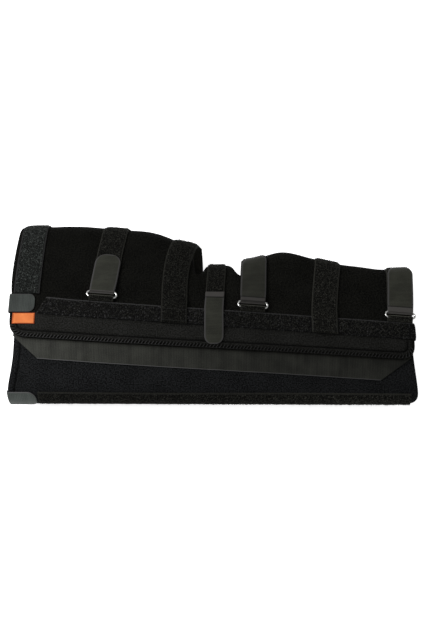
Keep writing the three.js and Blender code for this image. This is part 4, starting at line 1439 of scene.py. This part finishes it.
def strap_rows(strap):
    """A strap from its near end over the open front to the far tape."""
    flat = (STRAP_LEVEL, STRAP_LEVEL)
    front_start = lambda x: section_at(x).front_start
    front_near = lambda x: section_at(x).near
    front_far = lambda x: -section_at(x).far
    low_front = lambda x: -section_at(x).far + LOW_ARC * HOLD_SHARE
    arc_start = lambda x: -LOW_ARC - section_at(x).flat
    far_end = lambda x: -tape_top(x) - GAP
    near_start = {
        "tab": lambda x: NEAR_TAB.high + GAP + 0 * x,
        "hook": lambda x: KNEE_HOOK.lap + 0 * x,
        "ring": lambda x: ring_middle(x) + RING_BAR + TAIL_LAP + GAP,
        "sewn": lambda x: tape_top(x) + SEWN_CLEAR + SEWN_SETTLE,
    }[strap.end]
    zones = [zone(strap, near_start, front_start, flat, (0.0, FRONT_HOLD))]
    if strap.end == "sewn":
        over = OVER_TAPE + WEBBING / 2
        edge = lambda x: tape_top(x) + SEWN_CLEAR
        zones = [
            zone(strap, tape_low, edge, (over, over)),
            zone(strap, edge, near_start, (over, STRAP_LEVEL)),
        ] + zones
    zones += [
        zone(strap, front_start, front_near, flat, (FRONT_HOLD, 1.0)),
        zone(strap, front_far, low_front, flat, (1.0, 0.0)),
        zone(strap, low_front, arc_start, flat),
        zone(strap, arc_start, far_end, flat),
    ]
    rows = joined(*zones)
    for each in rows:
        each.width = 1 - FRONT_NARROW * strap.straight * each.hold
    return rows


def tail_rows(strap):
    """A strap's hook end: under the ring's bar, round it and back over the strap."""
    shape = TAILS[strap.name]
    radius = WIRE + GAP + TAIL / 2
    low = RING_LEVEL - radius
    high = RING_LEVEL + radius
    rest = OVER_STRAP + TAIL / 2
    bar = lambda x: ring_middle(x) + RING_BAR
    lap = lambda x: bar(x) + TAIL_LAP
    settled = lambda x: bar(x) + TAIL_SETTLE
    end = lambda x: section_at(x).near - shape.stop - shape.round
    back = joined(
        zone(strap, bar, settled, (high, rest), pitch=FINE_PITCH),
        zone(strap, settled, end, (rest, rest)),
    )
    for k, each in enumerate(back):
        each.width = lerp(1, TAIL_SPREAD, smooth_step(0, SPREAD_ROWS, k))
    tip = round_end(end, 1, shape.round, shape.tip, rest, shape.early)
    for each in tip:
        each.width *= TAIL_SPREAD
    return zone(strap, lap, bar, (low, low))[:-1] + bar_turn(1, TAIL) + turned_over(back[1:] + tip)


def anchor_rows(strap):
    """Short webbing loop that holds a ring at the tape."""
    radius = WIRE + GAP + TAIL / 2
    low = RING_LEVEL - radius
    edge = lambda x: tape_top(x) + GAP
    bar = lambda x: ring_middle(x) - RING_BAR
    back = zone(strap, bar, edge, (RING_LEVEL + radius, low + TAIL + GAP))
    return zone(strap, edge, bar, (low, low))[:-1] + bar_turn(-1, TAIL) + turned_over(back[1:])


def knee_hook_rows(strap):
    """Hook end of the knee strap: over the strap's own end, over the tape and down onto the panel."""
    on_strap, on_tape, on_panel = (level + HOOK / 2 for level in (OVER_STRAP, OVER_TAPE, OUTER_IN))
    high = lambda x: KNEE_HOOK.high + 0 * x
    over = lambda x: tape_top(x) + SEWN_CLEAR
    past = lambda x: tape_low(x) - SEWN_CLEAR
    start = lambda x: KNEE_HOOK.low + KNEE_HOOK.round + 0 * x
    return joined(
        zone(strap, high, over, (on_strap, on_tape), pitch=FINE_PITCH),
        zone(strap, over, past, (on_tape, on_tape)),
        zone(strap, past, start, (on_tape, on_panel)),
    ) + round_end(start, -1, KNEE_HOOK.round, KNEE_HOOK.tip, on_panel)


def leg_band(name, strap, rows, thickness, width, material, ribs=0.0, seams=(), hem_and_highlight=0.0, drift=0.0):
    """Webbing band round the leg from its rows, with the layers that its pile needs."""
    u = columns_across(STRAP_COLUMNS)
    grids = {key: [] for key in ("form_x", "real_x", "g", "d", "turn", "width", "hold")}
    last = len(rows) - 1
    for k, each in enumerate(rows):
        centre = float(strap_centre(strap, float(each.girth(strap.top)))) + drift * (k / last) ** 2
        real_x = centre + u * each.width * width / 2
        form_x = lerp(real_x, centre - width / 2, strap.straight * each.hold)
        grids["form_x"].append(form_x)
        grids["real_x"].append(real_x)
        grids["g"].append(each.girth(form_x))
        for key in ("d", "turn", "width", "hold"):
            grids[key].append(np.full_like(u, getattr(each, key)))
    form_x, real_x, g, d, turn, share, hold = (np.array(grids[key]) for key in grids)
    d = d - SINK * front_pull(form_x, g)
    s = section_at(form_x)
    bent_near = smooth_step(s.front_start - DROOP_START, s.near, g)
    bent = np.where(g >= 0, bent_near, 1 - smooth_step(0, DROOP_END, s.far + g))
    curl = KNEE_CURL * strap.straight * hold * np.clip((u - CURL_START) / (1 - CURL_START), 0, 1) ** 2
    curl = curl + strap.droop * bent * np.abs(u) ** DROOP_POWER
    distance = travelled(place(form_x, g, d, real_x))[:, None] + 0 * u
    turned = np.cos(turn) < 0
    fold = distance[np.argmax(turned[:, 0]), 0] if turned.any() else 0.0
    past = distance - fold
    crease = np.zeros_like(g)
    for line in seams:
        crease = np.maximum(crease, np.exp(-(((past - line) / CREASE_HALF) ** 2)))
    in_hem_and_highlight = (past > 0) & (past < hem_and_highlight)
    half = thickness / 2 * edge_rounding(u)[None, :]
    wave = np.cos(2 * math.pi * distance / RIB_PITCH)
    raised = (ribs * wave - CREASE_DEPTH * crease + HEM_RISE * in_hem_and_highlight) * edge_rounding(u)

    def layer(offset):
        points = place(form_x, g + offset * np.sin(turn), d + offset * np.cos(turn), real_x)
        points[..., 1] -= curl * MM
        return points

    outer = layer(half + np.where(turned, 0, raised))
    inner = layer(-half - np.where(turned, raised, 0))
    rim = np.minimum(rim_distance(u, width * share), distance[-1, 0] - distance + 0.5)
    outside = np.where(turned, 0.0, 1.0)
    flags = {
        "rim": (rim, rim), "outside": (outside, 1 - outside),
        "crease": (crease, crease), "hem_and_highlight": (in_hem_and_highlight, in_hem_and_highlight),
    }
    uv = np.stack([distance, u * share * width / 2 + 0 * distance], -1) / UV_UNIT
    obj = closed_sheet(name, outer, inner, uv, material, flags)
    return SimpleNamespace(
        obj=obj, outer=outer, inner=inner, g=g, u=u + 0 * g, turn=turn, x=form_x,
        length=float(distance[-1, 0]), width=width)


def oval_ring(strap):
    """Wire ring round both bars, bent with the form."""
    straight = (RING_WIDTH - RING_DEPTH) / 2
    turns = np.linspace(-math.pi / 2, math.pi / 2, 20)
    bar = np.linspace(1, -1, 24)[1:-1]
    ends = np.concatenate([np.full(20, 1.0), bar, np.full(20, -1.0), -bar])
    angles = np.concatenate([turns, np.full(22, math.pi / 2), turns + math.pi, np.full(22, 1.5 * math.pi)])
    round_wire = np.linspace(0, 2 * math.pi, 14, endpoint=False)
    out = RING_BAR + WIRE * np.cos(round_wire)[None, :]
    centre = float(strap_centre(strap, float(ring_middle(strap.low))))
    x = centre + ends[:, None] * straight + out * np.cos(angles)[:, None]
    g = ring_middle(x) + out * np.sin(angles)[:, None]
    points = place(x, g, RING_LEVEL + WIRE * np.sin(round_wire)[None, :])
    rows, sides = points.shape[:2]
    ids = np.arange(rows * sides).reshape(rows, sides)
    ahead = np.roll(ids, -1, 0)
    quads = np.stack([ids, ahead, np.roll(ahead, -1, 1), np.roll(ids, -1, 1)], -1).reshape(-1, 4)
    ring = new_object(f"{strap.name}_wire_ring", points.reshape(-1, 3), quads.tolist(), nickel_wire)
    return piece(ring, "ring_wire", f"{strap.name}_ring")


def bare_part(strap, band):
    """Where a strap's pile shows: past its tail or hook end, up to where it goes under the brace."""
    s = section_at(band.x)
    starts = {"tab": NEAR_TAB.high + PILE_CLEAR.tab, "hook": KNEE_HOOK.high + PILE_CLEAR.hook}
    start = starts.get(strap.end, 0)
    if strap.end == "ring":
        start = s.near - TAILS[strap.name].stop - TAILS[strap.name].round
    shows = np.where(band.g >= 0, band.g > start, s.far + band.g < PILE_CLEAR.under)
    return shows & (np.abs(band.u) < PILE_SHARE.strap)


def ring_end(strap):
    """Tail, ring loop with its pile, and ring of a strap."""
    name = strap.name
    shape = TAILS[name]
    tail = leg_band(
        f"{name}_hook_tail", strap, tail_rows(strap), TAIL, TAIL_WIDTH, tail_tapes[name],
        RIB_HEIGHT, shape.seams, shape.hem_and_highlight, shape.drift)
    sheet_piece(tail, "hook_tape", f"{name}_tail")
    loop = leg_band(f"{name}_ring_loop", strap, anchor_rows(strap), TAIL, TAIL_WIDTH, strap_cloth)
    sheet_piece(loop, "loop_strap", f"{name}_anchor")
    back = (loop.turn > 3) & (np.abs(loop.u) < PILE_SHARE.loop)
    pile_on(f"{name}_loop_pile", loop.inner[:, ::-1], back, "loop_strap", pile_thread)
    oval_ring(strap)


def make_straps():
    for strap in STRAPS:
        width = strap_width(strap)
        name = strap.name
        cloth, thread = strap_cloth, pile_thread
        # The thigh end strap takes the lighter copy of the webbing, which is painted light
        if strap.end == "tab":
            cloth, thread = lit_strap_cloth, lit_pile_thread
        band = leg_band(f"{name}_webbing", strap, strap_rows(strap), WEBBING, width, cloth)
        sheet_piece(band, "loop_strap", f"{name}_strap")
        pile_on(f"{name}_pile", band.outer, bare_part(strap, band), "loop_strap", thread)
        if strap.end == "ring":
            ring_end(strap)
        if strap.end == "hook":
            end = leg_band(
                f"{name}_hook_patch", strap, knee_hook_rows(strap), HOOK, width, tail_tapes[name],
                RIB_HEIGHT, KNEE_HOOK.seams, KNEE_HOOK.hem_and_highlight)
            sheet_piece(end, "hook_tape", f"{name}_hook_end")


# Stitching

def seam_run(x, g, d, pitch, slant=0):
    """Stitch points, directions and outward normals along a line on the form."""
    x, g, d = np.broadcast_arrays(np.asarray(x, float), np.asarray(g, float), np.asarray(d, float))
    path = place(x, g, d)
    lengths = np.concatenate([[0], np.cumsum(np.linalg.norm(np.diff(path, axis=0), axis=1))]) / MM
    stations = np.arange(pitch / 2, lengths[-1], pitch)
    x, g, d = (np.interp(stations, lengths, value) for value in (x, g, d))
    points = place(x, g, d)
    facing = place(x, g, d + 1) - points
    facing /= np.linalg.norm(facing, axis=1)[:, None]
    along = np.gradient(points, axis=0)
    along /= np.linalg.norm(along, axis=1)[:, None]
    if slant:
        across = np.cross(facing, along)
        along = math.cos(slant) * along + math.sin(slant) * across
    return points, along, facing


def stitches(name, runs, slot, finish, kind):
    """One piece of all the stitches of some seams."""
    points, along, facing = (np.concatenate(parts) for parts in zip(*runs))
    mesh = plain_mesh(name + "_points", points, [])
    for key, vectors in (("along", along), ("facing", facing)):
        made = mesh.attributes.new(key, "FLOAT_VECTOR", "POINT")
        made.data.foreach_set("vector", vectors.astype(np.float32).ravel())
    sizes = {"Length": kind.length * MM, "Rise": kind.rise * MM, "Thread": kind.thread * MM}
    return piece(grown(name, mesh, STITCHES, sizes | {"Finish": finish}), slot)


def tape_runs(line, side, start, end, level):
    """Straight seams along both edges of a pocket tape."""
    x = np.linspace(start, end, 300)
    reach = TAPE_WIDTH / 2 - TAPE_SEAM_INSET
    pitch = SEAMS["tape"].pitch
    return [seam_run(x, side * (line_at(line, x) + edge * reach), level, pitch) for edge in (-1, 1)]


def tape_seams():
    end = PANEL_HALF - 4
    level = TAPE_CLOTH + SEAM_LIFT
    near = tape_runs(TAPE_CENTRE, 1, NEAR_TAB.end + 16, end, OUTER_IN + level)
    far = tape_runs(TAPE_CENTRE, -1, -PANEL_HALF + 3, end, OUTER_IN + level)
    stitches("side_tape_seams", near + far, "stay_tape", black_thread, SEAMS["tape"])
    runs = tape_runs(
        POSTERIOR_TAPE_CENTRE, 1, POSTERIOR_TAB.end + 5, POSTERIOR_TAPE_END - 1, GAP + level)
    stitches("posterior_tape_seams", runs, "stay_tape", black_thread, SEAMS["tape"])


def lower_run(outline, offset):
    """Lower edge of a side panel with its round corners, set in from the outline, from left to right."""
    low = outline[:, 1] < line_at(PANEL_EDGE, outline[:, 0]) + 0.8 * PANEL_CORNER
    first = np.flatnonzero(low & ~np.roll(low, 1))[0]
    ring = np.roll(set_in(outline, offset), -first, 0)[: low.sum()]
    return ring if ring[0, 0] < ring[-1, 0] else ring[::-1]


def edge_seams():
    """Slanted overlock strokes on the lower edge of the side panels, with a thread along the edge."""
    level = PANEL_OUT - BAND_PRESS
    for word, side in SIDES.items():
        outline = side_outline(side)
        for name, kind, offset, rise, slant in (
            ("overlock", SEAMS["overlock"], OVERLOCK_INSET, EDGE_LIFT, side * OVERLOCK_SLANT),
            ("overlock_edge", SEAMS["edging"], EDGING_INSET, -EDGE_LIFT, 0),
        ):
            x, m = lower_run(outline, offset).T
            run = seam_run(x, side * m, level + rise, kind.pitch, slant)
            stitches(f"{word}_{name}", [run], "side_panel", edge_thread, kind)


def sewn_seams():
    """Seams that hold the sewn strap ends, the ring loops and the label."""
    kind = SEAMS["strap"]
    top = OVER_TAPE + WEBBING + SEAM_LIFT
    half = SEWN_BOX.half
    low, high = SEWN_BOX.shares
    box = [(np.linspace(-half, half, 30), share) for share in (low, high)]
    box += [(np.full(20, edge), np.linspace(low, high, 20)) for edge in (-half, half)]
    runs = []
    for strap in STRAPS:
        if strap.end == "sewn":
            for across, share in box:
                x = strap.low + across
                runs.append(seam_run(x, lerp(tape_low(x), tape_top(x), share), top, kind.pitch))
        if strap.end == "ring":
            x = strap.low + np.linspace(-LOOP_SEAM.half, LOOP_SEAM.half, 30)
            level = OUTER_IN + 2 * TAIL + GAP + LOOP_SEAM.lift
            runs.append(seam_run(x, tape_top(x) + LOOP_SEAM.above, level, kind.pitch))
    stitches("strap_end_seams", runs, "loop_strap", grey_thread, kind)
    spot = LABEL_PLACE
    kind = SEAMS["label"]
    g = np.linspace(spot.low + LABEL_SEAM.side, spot.high - LABEL_SEAM.side, 12)
    ends = (spot.left + LABEL_SEAM.end, spot.right - LABEL_SEAM.end)
    runs = [seam_run(x, g, OUTER_IN + LABEL + LABEL_SEAM.lift, kind.pitch) for x in ends]
    stitches("label_seams", runs, "label", orange_thread, kind)


# Stage

def make_stage():
    """White lit floor, soft light from the upper left and an even white surround."""
    corners = FLOOR_HALF * np.array([(-1, -1, 0), (1, -1, 0), (1, 1, 0), (-1, 1, 0)])
    material, tree, shader = new_material("white_floor", 0.9, 0.1)
    shader.inputs["Base Color"].default_value = FLOOR_TONE
    shader.inputs["Emission Color"].default_value = WHITE
    shader.inputs["Emission Strength"].default_value = FLOOR_GLOW
    mesh = plain_mesh("floor", corners, [(0, 1, 2, 3)])
    mesh.materials.append(material)
    link_object("floor", mesh)
    world = bpy.data.worlds.new("surround")
    world.use_nodes = True
    background = world.node_tree.nodes["Background"]
    background.inputs["Color"].default_value = WHITE
    background.inputs["Strength"].default_value = SURROUND
    bpy.context.scene.world = world
    light = bpy.data.lights.new("key", "AREA")
    light.shape = "DISK"
    light.size = KEY_LIGHT.size
    light.energy = KEY_LIGHT.energy
    lamp = link_object("key", light)
    lamp.location = KEY_LIGHT.place
    toward = Vector(KEY_LIGHT.target) - Vector(KEY_LIGHT.place)
    lamp.rotation_euler = toward.to_track_quat("-Z", "Y").to_euler()


def make_camera():
    """Camera above the brace, on the side of the fold."""
    data = bpy.data.cameras.new("camera")
    data.sensor_fit = "VERTICAL"
    data.sensor_height = SENSOR
    data.lens = FOCAL_PIXELS / FRAME_HEIGHT * SENSOR
    camera = link_object("camera", data)
    aim = (np.array(CAMERA_AIM) + SHIFT) * MM
    away = np.array([0, -math.cos(CAMERA_ELEVATION), math.sin(CAMERA_ELEVATION)])
    camera.location = aim + away * CAMERA_DISTANCE * MM
    camera.rotation_euler = (math.pi / 2 - CAMERA_ELEVATION, 0, 0)
    bpy.context.scene.camera = camera


make_camera()
make_stage()
make_panels()
make_tapes()
make_straps()
tape_seams()
edge_seams()
sewn_seams()
bpy.context.scene.view_settings.view_transform = "Standard"
